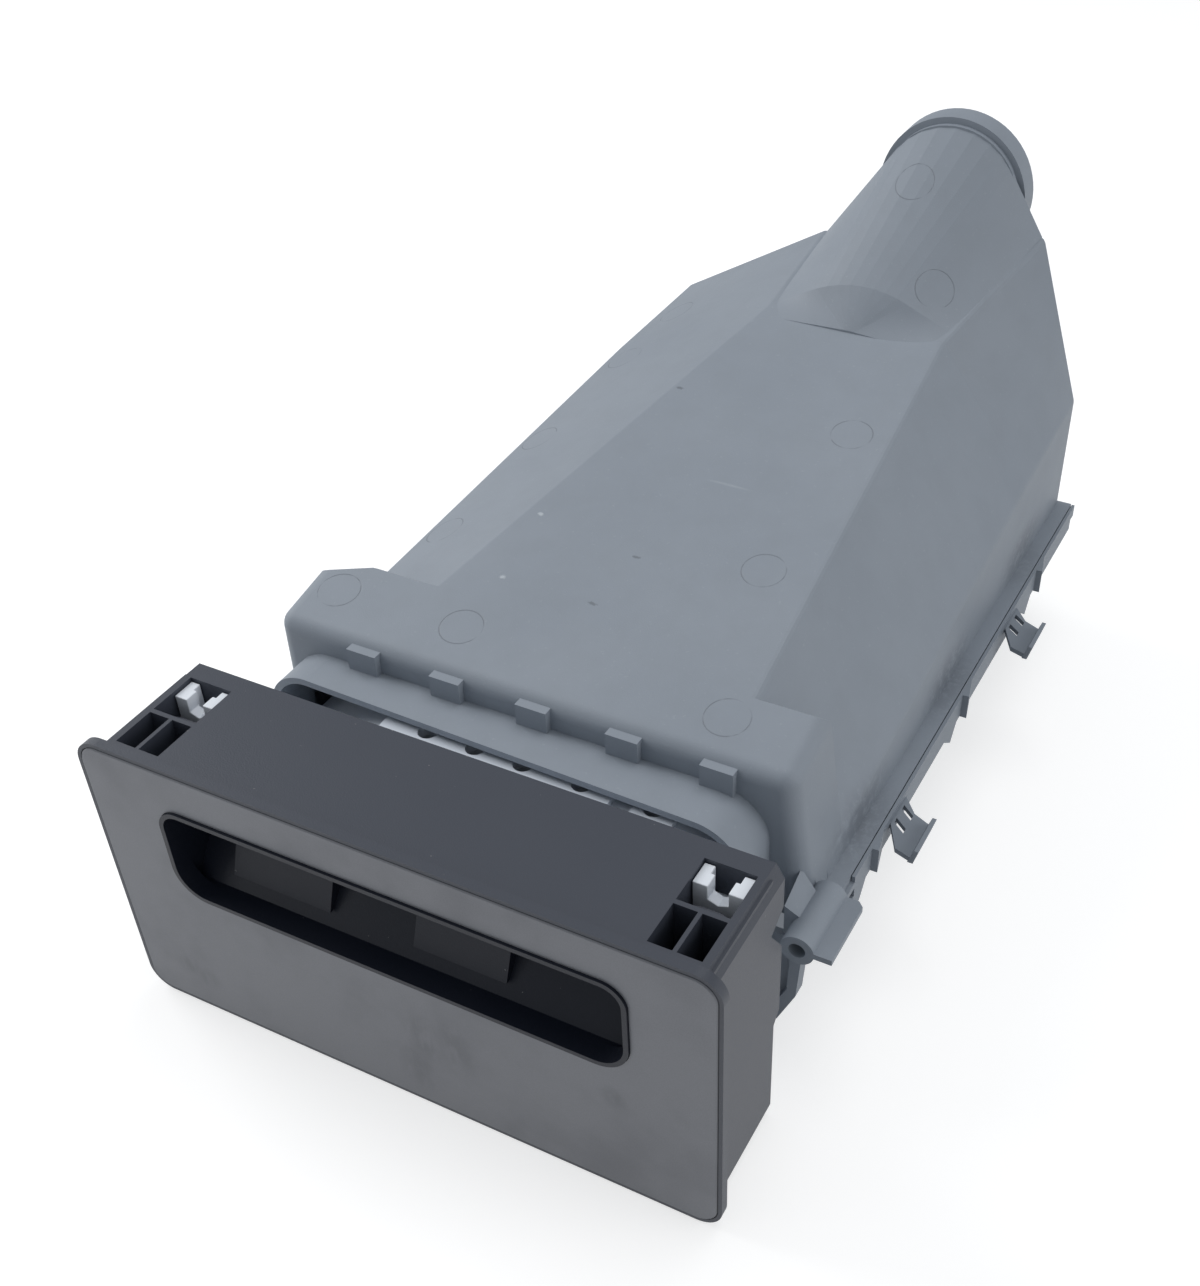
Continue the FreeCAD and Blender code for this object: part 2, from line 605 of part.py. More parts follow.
pad(sump, "mouth", "XZ_Plane", S.mouth_front, S.block_front + S.shell_wall,
    mouth_outline(S.shell_wall))
tabs = []
for number in range(-2, 3):
    middle = S.tab_centre + S.tab_pitch * number
    tabs.append(box_corners(middle - S.tab_width / 2, middle + S.tab_width / 2,
                            mouth_top + S.shell_wall / 2, mouth_outer_top + S.tab_height))
pad(sump, "tabs", "XZ_Plane", S.block_front - S.tab_depth, S.block_front + S.shell_wall, *tabs)
pocket(sump, "mouth_slant", "XY_Plane", S.parting_level, mouth_outer_top, slant_outline())

# The hollow inside

hollow_front = S.block_front + S.shell_wall
hollow_rear = block_rear - S.shell_wall
hollow_top = floor_level(hollow_front) - S.shell_wall
loft(sump, "block_hollow", [(S.parting_level, hollow_outline(S.parting_level)),
                            (hollow_top, hollow_outline(hollow_top))],
     "SubtractiveLoft", "XY_Plane")
top_side = S.block_round + S.shell_wall
pocket(sump, "block_wedge", "YZ_Plane", -wall_left + top_side,
       wall_right - S.right_draft - S.shell_wall * 2,
       [(hollow_front, hollow_top - S.shell_wall), (hollow_rear, hollow_top - S.shell_wall),
        (hollow_rear, floor_level(hollow_rear) - S.shell_wall), (hollow_front, hollow_top)])
wall_inside = sump_rear - S.shell_wall
inner_start = floor_start - S.block_round
loft(sump, "floor_hollow", [(inner_start, floor_section(inner_start, S.shell_wall)),
                            (step_place, floor_section(step_place, S.shell_wall)),
                            (wall_inside, floor_section(wall_inside, S.shell_wall))],
     "SubtractiveLoft")
hollow_step = step_rear + S.shell_wall
loft(sump, "nose_hollow", [
    (hollow_step, faceted_ring(step_middle, step_top - S.nose_cone_drop, S.nose_cone)),
    (wall_inside, faceted_ring(S.spout_side, S.spout_level, S.spout_bore - S.nose_cone_step))],
     "SubtractiveLoft")
pocket(sump, "mouth_opening", "XZ_Plane", S.mouth_front, inner_start + S.shell_wall,
       mouth_outline(ZERO))

# The spout on the rear wall

collar_front = sump_rear + S.spout_groove
spout_rear = collar_front + S.spout_length
pad(sump, "spout_neck", "XZ_Plane", sump_rear - S.spout_sink, collar_front,
    ("circle", S.spout_side, S.spout_level, S.spout_neck))
pad(sump, "spout_collar", "XZ_Plane", collar_front, spout_rear,
    ("circle", S.spout_side, S.spout_level, S.spout_radius))
round_edges(sump, "spout_lip", S.spout_lip,
            lambda e: near(bounds(e)[2], spout_rear.number, 0.01)
            and near(bounds(e)[5], (S.spout_level + S.spout_radius).number, 0.1), "Chamfer")
pocket(sump, "spout_mouth", "XZ_Plane", wall_inside, sump_rear,
       ("circle", S.spout_side, S.spout_level, S.spout_bore - S.spout_shoulder))
pocket(sump, "spout_bore", "XZ_Plane", sump_rear, spout_rear,
       ("circle", S.spout_side, S.spout_level, S.spout_bore))

# The screw boss beside the mouth, with its wing and the web that climbs to the block

pad(sump, "boss", "XZ_Plane", S.boss_front, boss_rear,
    ("circle", boss_side, boss_level, S.boss_radius))
wing_low = boss_level - S.wing_thick / 2
pad(sump, "boss_wing", "XY_Plane", wing_low, wing_low + S.wing_thick,
    [(boss_side, S.boss_front), (wing_side, S.boss_front), (wing_side, boss_rear - S.wing_corner),
     (wing_side - S.wing_corner, boss_rear), (boss_side, boss_rear)])
gusset_front = S.boss_front + S.gusset_start
gusset_left = boss_side - S.gusset_side
gusset_low = flange_top - S.wing_thick
touch_side = boss_side - S.boss_radius / 2
touch_level = boss_level + S.boss_radius * 0.8
block_inside = S.block_front + S.shell_wall


def gusset_section(climb):
    """The web between the boss and the block's front wall."""
    return [(gusset_left, gusset_low), (boss_side, gusset_low), (touch_side, touch_level),
            (gusset_left, boss_level + S.gusset_rise + climb)]


loft(sump, "boss_web", [(gusset_front, gusset_section(ZERO)),
                        (block_inside, gusset_section(S.gusset_climb))])
pocket(sump, "boss_bore", "XZ_Plane", S.boss_front, boss_rear,
       ("circle", boss_side, boss_level, S.boss_bore))

# The cover: the tunnel round the drawer, with its flange, runners, feet, clips and inlets

cover = new_body("distributor_cover")
roof_outer = S.roof_level - S.shell_wall
channel_floor = S.roof_level + S.channel_height
channel_top = channel_floor + S.channel_plate
channel_front = S.mouth_front + S.channel_start
inlet_level = S.roof_level + S.channel_height / 2
pad(cover, "tunnel", "XZ_Plane", S.mouth_front, tunnel_rear,
    [(-outer_left, roof_outer, S.tunnel_corner), (outer_right, roof_outer, S.tunnel_corner),
     (outer_right, S.parting_level), (-outer_left, S.parting_level)])
pad(cover, "flange", "XY_Plane", flange_bottom, S.parting_level,
    box_corners(-flange_left, flange_right, S.block_front, flange_rear))
skirt_front = S.block_front + S.skirt_start
skirt_rear = flange_rear - S.skirt_end
skirt_level = flange_bottom - S.skirt_depth
pad(cover, "skirt", "XY_Plane", skirt_level, flange_bottom,
    *both_walls(S.shell_wall, ZERO, skirt_front, skirt_rear))
pad(cover, "rim", "XY_Plane", S.parting_level, flange_top - S.rim_gap,
    *both_walls(S.rim_wall, ZERO, skirt_front, flange_rear))
inner_corner = S.tunnel_corner - S.shell_wall
pocket(cover, "tunnel_hollow", "XZ_Plane", S.mouth_front, tunnel_inside,
       [(-tunnel_left, S.roof_level, inner_corner), (tunnel_right, S.roof_level, inner_corner),
        (tunnel_right, S.parting_level), (-tunnel_left, S.parting_level)])
pocket(cover, "mouth_slant", "XY_Plane", ZERO, S.parting_level, slant_outline())
boss_clear = S.boss_radius + S.seat_gap
pocket(cover, "boss_notch", "XY_Plane", flange_bottom, S.parting_level,
       box_corners(boss_side - boss_clear, flange_right, S.block_front, boss_rear + S.seat_gap))
lugs, teeth = [], []
for number in range(3):
    place = S.block_front + S.first_lug + S.lug_pitch * number
    for edge, sign in ((-flange_left, -1), (flange_right, 1)):
        root = edge - S.lug_root * sign
        lugs.append([(root, place), (edge + S.lug_reach * sign, place),
                     (root, place + S.lug_length)])
    teeth.append([(place - S.tooth_front, skirt_level + S.lug_root),
                  (place - S.tooth_front + S.tooth_rear / 2, skirt_level - S.lug_root),
                  (place - S.tooth_tip, S.parting_level - S.tooth_drop),
                  (place - S.tooth_rear, skirt_level + S.lug_root)])
pad(cover, "lugs", "XY_Plane", S.parting_level - S.lug_drop, flange_top - S.rim_gap, *lugs)
pad(cover, "right_teeth", "YZ_Plane", flange_right - S.shell_wall, flange_right, *teeth)
pad(cover, "left_teeth", "YZ_Plane", -flange_left, -flange_left + S.shell_wall, *teeth)
lower_runner = rail_level - S.slide_gap
upper_runner = rail_level + S.rail_height + S.slide_gap
for name, low, high in (("lower_runners", lower_runner - S.runner_height, lower_runner),
                        ("upper_runners", upper_runner, upper_runner + S.runner_height)):
    pad(cover, name, "XZ_Plane", S.mouth_front + S.runner_start, tunnel_inside,
        box_corners(-tunnel_left - S.shell_wall / 2, -tunnel_left + S.runner_reach, low, high),
        box_corners(tunnel_right - S.runner_reach, tunnel_right + S.shell_wall / 2, low, high))
pad(cover, "channel_ribs", "XY_Plane", roof_outer, channel_floor,
    *[box_corners(middle - S.channel_rib / 2, middle + S.channel_rib / 2, channel_front,
                  tunnel_inside + S.shell_wall / 2)
      for middle in (-outer_left + S.tunnel_corner, S.left_divider, S.right_divider,
                     outer_right - S.tunnel_corner)])
pad(cover, "feet", "XY_Plane", ZERO, roof_outer + S.shell_wall / 2,
    *both_sides(S.foot_spread, S.foot_spread + S.foot_width, S.block_front + S.foot_start,
                tunnel_rear - S.foot_end))
hook_top = channel_top + S.tab_clear
stop_front = S.mouth_front + S.stop_inset
pad(cover, "stop_rib", "XY_Plane", roof_outer, hook_top + S.stop_grip,
    box_corners(-S.stop_width / 2, S.stop_width / 2, stop_front, stop_front + S.stop_thick))
inlets = (S.first_inlet, S.second_inlet, S.third_inlet)
inlet_rear = tunnel_rear + S.inlet_length
pad(cover, "inlets", "XZ_Plane", tunnel_inside, inlet_rear,
    *[("circle", middle, inlet_level, S.inlet_radius) for middle in inlets])
pocket(cover, "inlet_bores", "XZ_Plane", tunnel_inside, inlet_rear,
       *[("circle", middle, inlet_level, S.inlet_bore) for middle in inlets])

# The curved strut under the boss

strut_top = boss_level - S.boss_radius - S.seat_gap
strut_root = outer_right - S.shell_wall / 2
knee_side, ankle_side = boss_side - S.strut_knee_in, boss_side - S.strut_ankle_in
pad(cover, "boss_strut", "XZ_Plane", S.strut_front, S.strut_front + S.strut_thick,
    [(strut_root, S.strut_foot_level + S.strut_width), (strut_root, S.strut_foot_level),
     (ankle_side, S.strut_ankle_level), (knee_side, S.strut_knee_level),
     (boss_side, strut_top), (boss_side - S.strut_width, strut_top),
     (knee_side - S.strut_width * 0.8, S.strut_knee_level + S.strut_width / 2),
     (ankle_side - S.strut_width * 0.6, S.strut_ankle_level + S.strut_width)])
strut_leg = S.strut_width * 0.6
pad(cover, "boss_strut_plate", "XZ_Plane", S.strut_front + S.strut_thick - S.rim_wall,
    S.strut_front + S.strut_thick + S.rim_wall,
    [(strut_root, strut_top), (strut_root, S.strut_foot_level),
     (ankle_side - strut_leg, S.strut_ankle_level + strut_leg),
     (knee_side - strut_leg, S.strut_knee_level), (boss_side - strut_leg, strut_top)])

# The two clips for a cable on the right edge of the flange

clip_top = flange_bottom + S.clip_thick
for name, start in (("front_cable_clip", S.first_clip), ("rear_cable_clip", S.second_clip)):
    middle = S.block_front + start
    knee = flange_right + S.clip_knee
    end = flange_right + S.clip_reach
    root = flange_right - S.shell_wall / 2
    pad(cover, name, "XY_Plane", clip_top - S.clip_thick, clip_top,
        [(root, middle + S.clip_root_front), (flange_right, middle + S.clip_root_front),
         (knee, middle - S.clip_knee_front), (end, middle - S.clip_end_front),
         (end, middle + S.clip_end_rear), (knee, middle + S.clip_knee_rear),
         (flange_right, middle + S.clip_root_rear), (root, middle + S.clip_root_rear)])
    pad(cover, name + "_lip", "XZ_Plane", middle - S.clip_end_front, middle + S.clip_end_rear,
        [(end - S.clip_thick, clip_top - S.clip_thick), (end, clip_top - S.clip_thick),
         (end + S.clip_lip_lean, clip_top + S.clip_lip), (end, clip_top + S.clip_lip)])
    windows = []
    for row in range(2):
        x = flange_right + S.window_side
        y = middle + S.window_place - S.window_pitch * row
        windows.append([(x - S.window_long, y + S.window_slant - S.window_wide),
                        (x + S.window_long, y - S.window_slant - S.window_wide),
                        (x + S.window_long, y - S.window_slant + S.window_wide),
                        (x - S.window_long, y + S.window_slant + S.window_wide)])
    pocket(cover, name + "_windows", "XY_Plane", clip_top - S.clip_thick, clip_top, *windows)

# The perforated plate that lies on the cover's ribs

plate = new_body("channel_plate")
pad(plate, "sheet", "XY_Plane", channel_floor, channel_top,
    box_corners(-tunnel_left + S.channel_side_gap, tunnel_right - S.channel_side_gap,
                channel_front, tunnel_inside - S.seat_gap))
lanes = ((S.left_divider - S.tray_left) / 2, (S.left_divider + S.right_divider) / 2,
         (S.right_divider + S.tray_right) / 2)
first_row = channel_front + S.shower_first
spots = [box_corners(lane - S.shower_wide / 2, lane + S.shower_wide / 2, first_row,
                     first_row + S.shower_long) for lane in lanes]
holes = pocket(plate, "first_slots", "XY_Plane", channel_floor, channel_top, *spots)
rows = plate.newObject("PartDesign::LinearPattern", "shower_rows")
rows.Originals = [holes]
rows.Direction = (plane(plate, "Y_Axis"), [""])
rows.Mode = "Spacing"
rows.Occurrences = 9
rows.setExpression("Offset", S.shower_pitch.text)
plate.Tip = rows
DOC.recompute()

# The fascia plate

fascia = new_body("fascia_plate")
edge_gap = S.plate_rim + S.plate_gap
fascia_round = S.fascia_corner - edge_gap
pad(fascia, "sheet", "XZ_Plane", plate_front, plate_back,
    box_corners(-half_front + edge_gap, half_front - edge_gap, edge_gap,
                S.fascia_height - edge_gap, fascia_round),
    slot_outline(S.cup_rim + S.plate_gap))
round_edges(fascia, "soft_edge", S.soft_edge, lambda e: near(bounds(e)[2], plate_front.number)
            and near(bounds(e)[3], plate_front.number)
            and (bounds(e)[1] - bounds(e)[0] > slot_half.number * 2.2
                 or abs(bounds(e)[0]) > slot_half.number + 8), "Chamfer")

# The carrier behind it, with its cells

carrier = new_body("front_carrier")
pad(carrier, "flange", "XZ_Plane", flange_front, flange_back,
    box_corners(-half_front, half_front, ZERO, S.fascia_height, S.fascia_corner),
    slot_outline(S.cup_rim + S.plate_gap))
rim = S.plate_rim
pocket(carrier, "plate_seat", "XZ_Plane", flange_front, plate_back,
       box_corners(-half_front + rim, half_front - rim, rim, S.fascia_height - rim,
                   S.fascia_corner - rim))
pad(carrier, "box", "XZ_Plane", flange_back, S.carrier_rear,
    [(-box_half, S.carrier_bottom), (box_half, S.carrier_bottom),
     (box_half, box_top - S.chamfer_down), (box_half - S.chamfer_side, box_top),
     (-box_half + S.chamfer_side, box_top), (-box_half, box_top - S.chamfer_down)],
    box_corners(-inner_half_box, inner_half_box, S.carrier_bottom + S.carrier_wall, inner_top))
rib = S.cell_rib
wall_middle = S.carrier_wall / 2
pad(carrier, "cell_blocks", "XY_Plane", cell_floor - rib, inner_top + wall_middle,
    *both_sides(cell_inner - rib, inner_half_box + wall_middle, S.cell_front - rib, cells_back))
split = S.cell_split / 2
front_cells = []
for low, high in ((cell_inner, cell_middle - split), (cell_middle + split, cell_outer)):
    front_cells += both_sides(low, high, S.cell_front, S.cell_front + S.cell_length)
pocket(carrier, "front_cells", "XY_Plane", cell_floor, box_top, *front_cells)
pocket(carrier, "rear_cells", "XY_Plane", cell_floor, box_top,
       *both_sides(cell_inner, cell_outer, rear_cell_front, rear_cell_back))
arc_ribs, arc_hollows = [], []
for side in (-1, 1):
    middle = side * cell_middle
    for shapes, shrink, reach in ((arc_ribs, ZERO, S.arc_rib_reach),
                                  (arc_hollows, S.arc_rib_thick,
                                   S.arc_rib_reach - S.arc_rib_thick)):
        left, right = middle - S.arc_rib_half + shrink, middle + S.arc_rib_half - shrink
        near_edge, far_edge = rear_cell_front - rib / 2, rear_cell_front + reach
        bend = S.arc_rib_round - shrink
        shapes.append([(left, near_edge), (right, near_edge), (right, far_edge, bend),
                       (left, far_edge, bend)])
pad(carrier, "arc_ribs", "XY_Plane", cell_floor - rib / 2, box_top - S.arc_rib_drop, *arc_ribs)
pocket(carrier, "arc_hollows", "XY_Plane", cell_floor, box_top - S.arc_rib_drop,
       *[[(shape[0][0], rear_cell_front), (shape[1][0], rear_cell_front), shape[2], shape[3]]
         for shape in arc_hollows])
tongue_low = cell_middle - S.tongue_width / 2
tongue_high = cell_middle + S.tongue_width / 2
gap = S.seat_gap
pocket(carrier, "tongue_windows", "XZ_Plane", rear_cell_back, cells_back,
       *both_sides(tongue_low - gap, tongue_high + gap, tongue_bottom - gap, tongue_top + gap))
notch = [(S.carrier_rear, box_top - S.notch_top),
         (S.carrier_rear - S.notch_reach, box_top - S.notch_tip),
         (S.carrier_rear, box_top - S.notch_low)]
for name, side in (("left_notch", -box_half), ("right_notch", inner_half_box)):
    pocket(carrier, name, "YZ_Plane", side, side + S.carrier_wall, notch)

low_rear = S.carrier_rear - S.low_cut_reach
pocket(carrier, "low_rear_cut", "YZ_Plane", -half_front, half_front,
       [(low_rear, ZERO), (S.carrier_rear + 1, ZERO),
        (S.carrier_rear + 1, S.low_cut_level + S.low_cut_rise + 1),
        (S.carrier_rear, S.low_cut_level + S.low_cut_rise), (low_rear, S.low_cut_level)])

# The finger recess

cup = new_body("handle_cup")
rim_front = plate_front - S.cup_rim_proud
cup_half = slot_half + S.cup_wall
roof_inner = slot_top + S.cup_roof
wall = S.cup_wall
back_low = roof_inner - S.cup_back
pad(cup, "recess", "YZ_Plane", -cup_half, cup_half,
    [(flange_back, slot_bottom - wall), (S.cup_lip + flange_back + wall, slot_bottom - wall),
     (S.cup_depth + wall, back_low - wall / 2), (S.cup_depth + wall, roof_inner + wall),
     (flange_back, roof_inner + wall)])
pad(cup, "ledge", "XZ_Plane", flange_back, flange_back + S.cup_ledge_thick,
    slot_outline(S.cup_ledge + wall))
pad(cup, "rim", "XZ_Plane", rim_front, flange_back + S.cup_ledge_thick, slot_outline(S.cup_rim))
pocket(cup, "hollow", "YZ_Plane", -slot_half, slot_half,
       [(flange_back + S.cup_ledge_thick, slot_bottom),
        (S.cup_lip + flange_back, slot_bottom), (S.cup_depth, back_low),
        (S.cup_depth, roof_inner), (flange_back + S.cup_ledge_thick, roof_inner)])
pocket(cup, "slot", "XZ_Plane", rim_front, flange_back + S.cup_ledge_thick, slot_outline(ZERO))
block_low = slot_bottom + S.cup_block_low
slope_rise = back_low - slot_bottom
slope_run = S.cup_depth - S.cup_lip - flange_back
block_foot = S.cup_lip + flange_back + slope_run * S.cup_block_low / slope_rise
block_back = block_foot + slope_run * S.cup_block_height / slope_rise
for name, left, width in (("block", S.cup_block_left, S.cup_block_width),
                          ("latch", S.cup_latch_left, S.cup_latch_width)):
    pad(cup, name, "YZ_Plane", left, left + width,
        [(block_foot + wall / 2, block_low), (block_back + wall / 2, block_low + S.cup_block_height),
         (block_back - S.cup_block_reach, block_low + S.cup_block_height),
         (block_foot - S.cup_block_reach / 4, block_low)])

# The tray with its three compartments

tray = new_body("drawer_tray")
left_knee = S.tray_top - S.left_slope_down
right_knee = S.tray_top - S.right_slope_down
thin = S.tray_wall
half_wall = thin / 2
band_left = -S.tray_left + S.left_slope_side
right_flat = S.tray_right - S.right_slope_side
pad(tray, "tub", "XZ_Plane", cells_back, S.tray_rear,
    [(-S.tray_left, S.tray_rim), (S.tray_right, S.tray_rim), (S.tray_right, right_knee),
     (right_flat, S.tray_top), (band_left, S.tray_top), (-S.tray_left, left_knee)])
plate_side = inner_half_box - gap
pad(tray, "front_plate", "XZ_Plane", cells_back, tray_plate_back,
    box_corners(-plate_side, plate_side, S.carrier_bottom + S.carrier_wall + gap,
                inner_top - gap))
inner_bottom = S.tray_top - thin
left_face, right_face = -S.tray_left + thin, S.tray_right - thin
left_inner = [(left_face, left_knee - half_wall), (band_left + half_wall, inner_bottom)]
right_inner = [(right_flat - half_wall, inner_bottom), (right_face, right_knee - half_wall)]
pocket(tray, "front_well", "XZ_Plane", tray_plate_back, S.tray_well_rear - thin,
       [(left_face, S.tray_rim)] + left_inner + right_inner + [(right_face, S.tray_rim)])
tray_inside = S.tray_rear - thin
left_wall, right_wall = S.left_divider - half_wall, S.right_divider + half_wall
pocket(tray, "left_compartment", "XZ_Plane", S.tray_well_rear, tray_inside,
       [(left_face, S.tray_rim)] + left_inner
       + [(left_wall, inner_bottom), (left_wall, S.tray_rim)])
pocket(tray, "right_compartment", "XZ_Plane", S.tray_well_rear, tray_inside,
       [(right_wall, S.tray_rim), (right_wall, inner_bottom)] + right_inner
       + [(right_face, S.tray_rim)])
middle_left, middle_right = S.left_divider + half_wall, S.right_divider - half_wall
pocket(tray, "middle_compartment", "XZ_Plane", S.tray_well_rear, tray_inside,
       box_corners(middle_left, middle_right, S.tray_rim, inner_bottom))
outlet_left, outlet_right = left_wall - S.outlet_side, right_wall + S.outlet_side
pocket(tray, "outlets", "XZ_Plane", tray_inside, S.tray_rear,
       box_corners(outlet_left - S.outlet_width, outlet_left,
                   inner_bottom - S.outlet_height, inner_bottom),
       box_corners(outlet_right, outlet_right + S.outlet_width,
                   inner_bottom - S.outlet_height, inner_bottom))
tail_right = right_flat - S.tail_inset
pad(tray, "bands", "XY_Plane", S.tray_top - half_wall, S.tray_top + S.band_height,
    box_corners(band_left, S.band_right, S.band_front, S.band_rear),
    box_corners(tail_right - S.tail_width, tail_right, S.band_front, S.band_rear))
band_line = (S.band_front + S.band_rear) / 2
band_holes = [("circle", place, band_line, S.band_hole)
              for place in (S.first_band_hole, S.second_band_hole, S.third_band_hole,
                            S.fourth_band_hole, S.tail_hole)]
pocket(tray, "band_holes", "XY_Plane", inner_bottom, S.tray_top + S.band_height, *band_holes)
pad(tray, "rails", "XZ_Plane", S.rail_front, S.tray_rear - S.rail_end,
    box_corners(-S.tray_left - S.rail_reach, -S.tray_left + half_wall, rail_level,
                rail_level + S.rail_height),
    box_corners(S.tray_right - half_wall, S.tray_right + S.rail_reach, rail_level,
                rail_level + S.rail_height))
clip_front = rear_cell_front + S.arc_rib_reach + gap
clip_rear = rear_cell_back - gap
tongue_front = clip_front + S.clip_bridge + gap
pad(tray, "tongues", "XZ_Plane", tongue_front, cells_back,
    *both_sides(tongue_low, tongue_high, tongue_bottom, tongue_top))
pipe_side = (S.left_divider + S.right_divider) / 2
cap_rear = tab_pivot - S.cap_tab_gap
cap_front = cap_rear - S.cap_length
pipe_place = cap_rear - S.pipe_from_cap
pipe_end = S.tray_rim + S.pipe_top_gap
pad(tray, "pipe", "XY_Plane", pipe_end, inner_bottom + half_wall,
    ("circle", pipe_side, pipe_place, S.pipe_radius))
pocket(tray, "pipe_bore", "XY_Plane", pipe_end, S.tray_top,
       ("circle", pipe_side, pipe_place, S.pipe_bore))
pocket(tray, "flap_pin_holes", "YZ_Plane", -S.tray_left, S.left_divider + half_wall,
       ("circle", S.flap_place, pin_level, pin_hole))
pocket(tray, "tab_pin_holes", "YZ_Plane", S.left_divider - half_wall,
       S.right_divider + half_wall, ("circle", tab_pivot, pin_level, pin_hole))

# The clips in the rear cells, standing on the cell floor round the tongues

side_gap = S.seat_gap
clips = []
for label, side in (("left_clip", -1), ("right_clip", 1)):
    clip = new_body(label)
    clips.append(clip)
    outer, inner = cell_outer - side_gap, cell_inner + side_gap
    legs = [(inner, inner + S.clip_leg), (outer - S.clip_leg, outer)]
    boxes = [box_corners(min((side * a, side * b), key=lambda v: v.number),
                         max((side * a, side * b), key=lambda v: v.number),
                         clip_front, clip_rear) for a, b in legs]
    pad(clip, "legs", "XY_Plane", cell_floor, box_top - S.clip_top_gap, *boxes)
    ends = sorted((side * inner, side * outer), key=lambda v: v.number)
    pad(clip, "bridge", "XY_Plane", box_top - S.bridge_low, box_top - S.bridge_high,
        box_corners(ends[0], ends[1], clip_front, clip_front + S.clip_bridge))
    pad(clip, "foot", "XY_Plane", cell_floor, cell_floor + S.clip_leg,
        box_corners(ends[0], ends[1], clip_front, clip_rear))
    tops = [box_corners(min((side * a, side * b), key=lambda v: v.number),
                        max((side * a, side * b), key=lambda v: v.number),
                        clip_front, clip_front + S.clip_bridge) for a, b in legs]
    pocket(clip, "steps", "XY_Plane", box_top - S.bridge_high + S.clip_step,
           box_top - S.clip_top_gap, *tops)

# The cap over the standpipe of the softener compartment

cap = new_body("siphon_cap")
cap_left, cap_right = middle_left + side_gap, middle_right - side_gap
cap_level = S.tray_rim + S.cap_sink
pad(cap, "plate", "XY_Plane", cap_level, cap_level + S.cap_plate,
    box_corners(cap_left, cap_right, cap_front, cap_rear))
pad(cap, "skirt", "XY_Plane", cap_level, cap_level + S.cap_skirt,
    box_corners(cap_left, cap_right, cap_front, cap_rear),
    box_corners(cap_left + S.cap_wall, cap_right - S.cap_wall, cap_front + S.cap_wall,
                cap_rear - S.cap_wall))
pad(cap, "tube", "XY_Plane", cap_level, inner_bottom - S.cap_foot_gap,
    ("circle", pipe_side, pipe_place, S.cap_radius))
pocket(cap, "tube_hollow", "XY_Plane", cap_level + S.cap_plate,
       inner_bottom - S.cap_foot_gap,
       ("circle", pipe_side, pipe_place, S.cap_radius - S.cap_wall))

# The gate for liquid detergent, hung across the left compartment

flap = new_body("liquid_flap")
flap_left = left_face + S.flap_gap
flap_right = left_wall - S.flap_gap
flap_end = left_knee - half_wall - S.flap_end_gap
flap_front, flap_back = S.flap_place - S.flap_thick / 2, S.flap_place + S.flap_thick / 2
pad(flap, "gate", "YZ_Plane", flap_left, flap_right,
    [(flap_front, pin_level), (flap_back, pin_level), (flap_back, flap_end),
     (flap_front, flap_end)])
pad(flap, "barrel", "YZ_Plane", flap_left, flap_right,
    ("circle", S.flap_place, pin_level, S.flap_barrel))
pad(flap, "pins", "YZ_Plane", flap_left - S.flap_gap - thin + side_gap,
    flap_right + S.flap_gap + thin - side_gap, ("circle", S.flap_place, pin_level, S.pin_radius))
rib_back = S.flap_place + S.flap_barrel
for name, place in (("left_stiffener", flap_left + S.flap_rib_side),
                    ("right_stiffener", flap_right - S.flap_rib_side - S.flap_rib_thick)):
    pad(flap, name, "YZ_Plane", place, place + S.flap_rib_thick,
        [(S.flap_place, pin_level), (rib_back, pin_level), (rib_back, flap_end - S.flap_rib_end),
         (S.flap_place, flap_end)])

# The tongue that is pressed to take the drawer out

tab = new_body("release_tab")
tab_left, tab_right = middle_left + S.flap_gap, middle_right - S.flap_gap
tab_face = pin_level - S.tab_thick / 2
tab_low, tab_high = pipe_side - S.tab_half, pipe_side + S.tab_half
pad(tab, "barrel", "YZ_Plane", tab_left, tab_right,
    ("circle", tab_pivot, pin_level, S.flap_barrel))
pad(tab, "pins", "YZ_Plane", tab_left - S.flap_gap - thin + side_gap,
    tab_right + S.flap_gap + thin - side_gap, ("circle", tab_pivot, pin_level, S.pin_radius))
pad(tab, "lever", "XY_Plane", tab_face, tab_face + S.tab_thick,
    box_corners(tab_low, tab_high, tab_pivot, tab_rear))
hook_front = tab_rear - S.hook_thick
pad(tab, "hook", "YZ_Plane", tab_low, tab_high,
    [(hook_front, pin_level), (tab_rear, pin_level), (tab_rear, tab_face - S.tab_rib),
     (tab_rear - S.hook_thick / 2, hook_top), (hook_front, hook_top)])
grips = []
for number in range(4):
    line = tab_pivot + S.flap_barrel * 2 + S.tab_rib_pitch * number
    grips.append(box_corners(tab_low + S.tab_rib_side, tab_high - S.tab_rib_side, line,
                             line + S.tab_rib))
pad(tab, "grip_ribs", "XY_Plane", tab_face - S.tab_rib, pin_level, *grips)

BODIES = [sump, cover, plate, carrier, fascia, cup, tray] + clips + [cap, flap, tab]
DOC.recompute()
for item in DOC.Objects:
    if "Invalid" in item.State or "Error" in item.State:
        raise ValueError(f"{item.Label} is {item.State}")
os.makedirs("parts", exist_ok=True)
for body in BODIES:
    shape = body.Shape
    if shape.isNull() or not shape.isValid() or len(shape.Solids) != 1:
        raise ValueError(body.Label + " isn't one valid solid")
for body in BODIES:
    body.Shape.exportStep("parts/" + body.Label + ".step")
    print(body.Label, "volume", round(body.Shape.Volume / 1000, 1), "cm3")
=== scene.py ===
# %% [markdown]
# # A washing machine's detergent dispenser, dressed for its picture
#
# The dispenser lies upside down: the sloping sump and its hose spout are on top, and the drawer
# front stands on the edge that is its upper edge in use. The packed CAD parts are the frame. This
# lesson gives each part the finish of its plastic, adds the few things that a mould or a knock
# leaves on the surface, and models the two small clips in the corners of the drawer front.

# %% Load the frame
import math

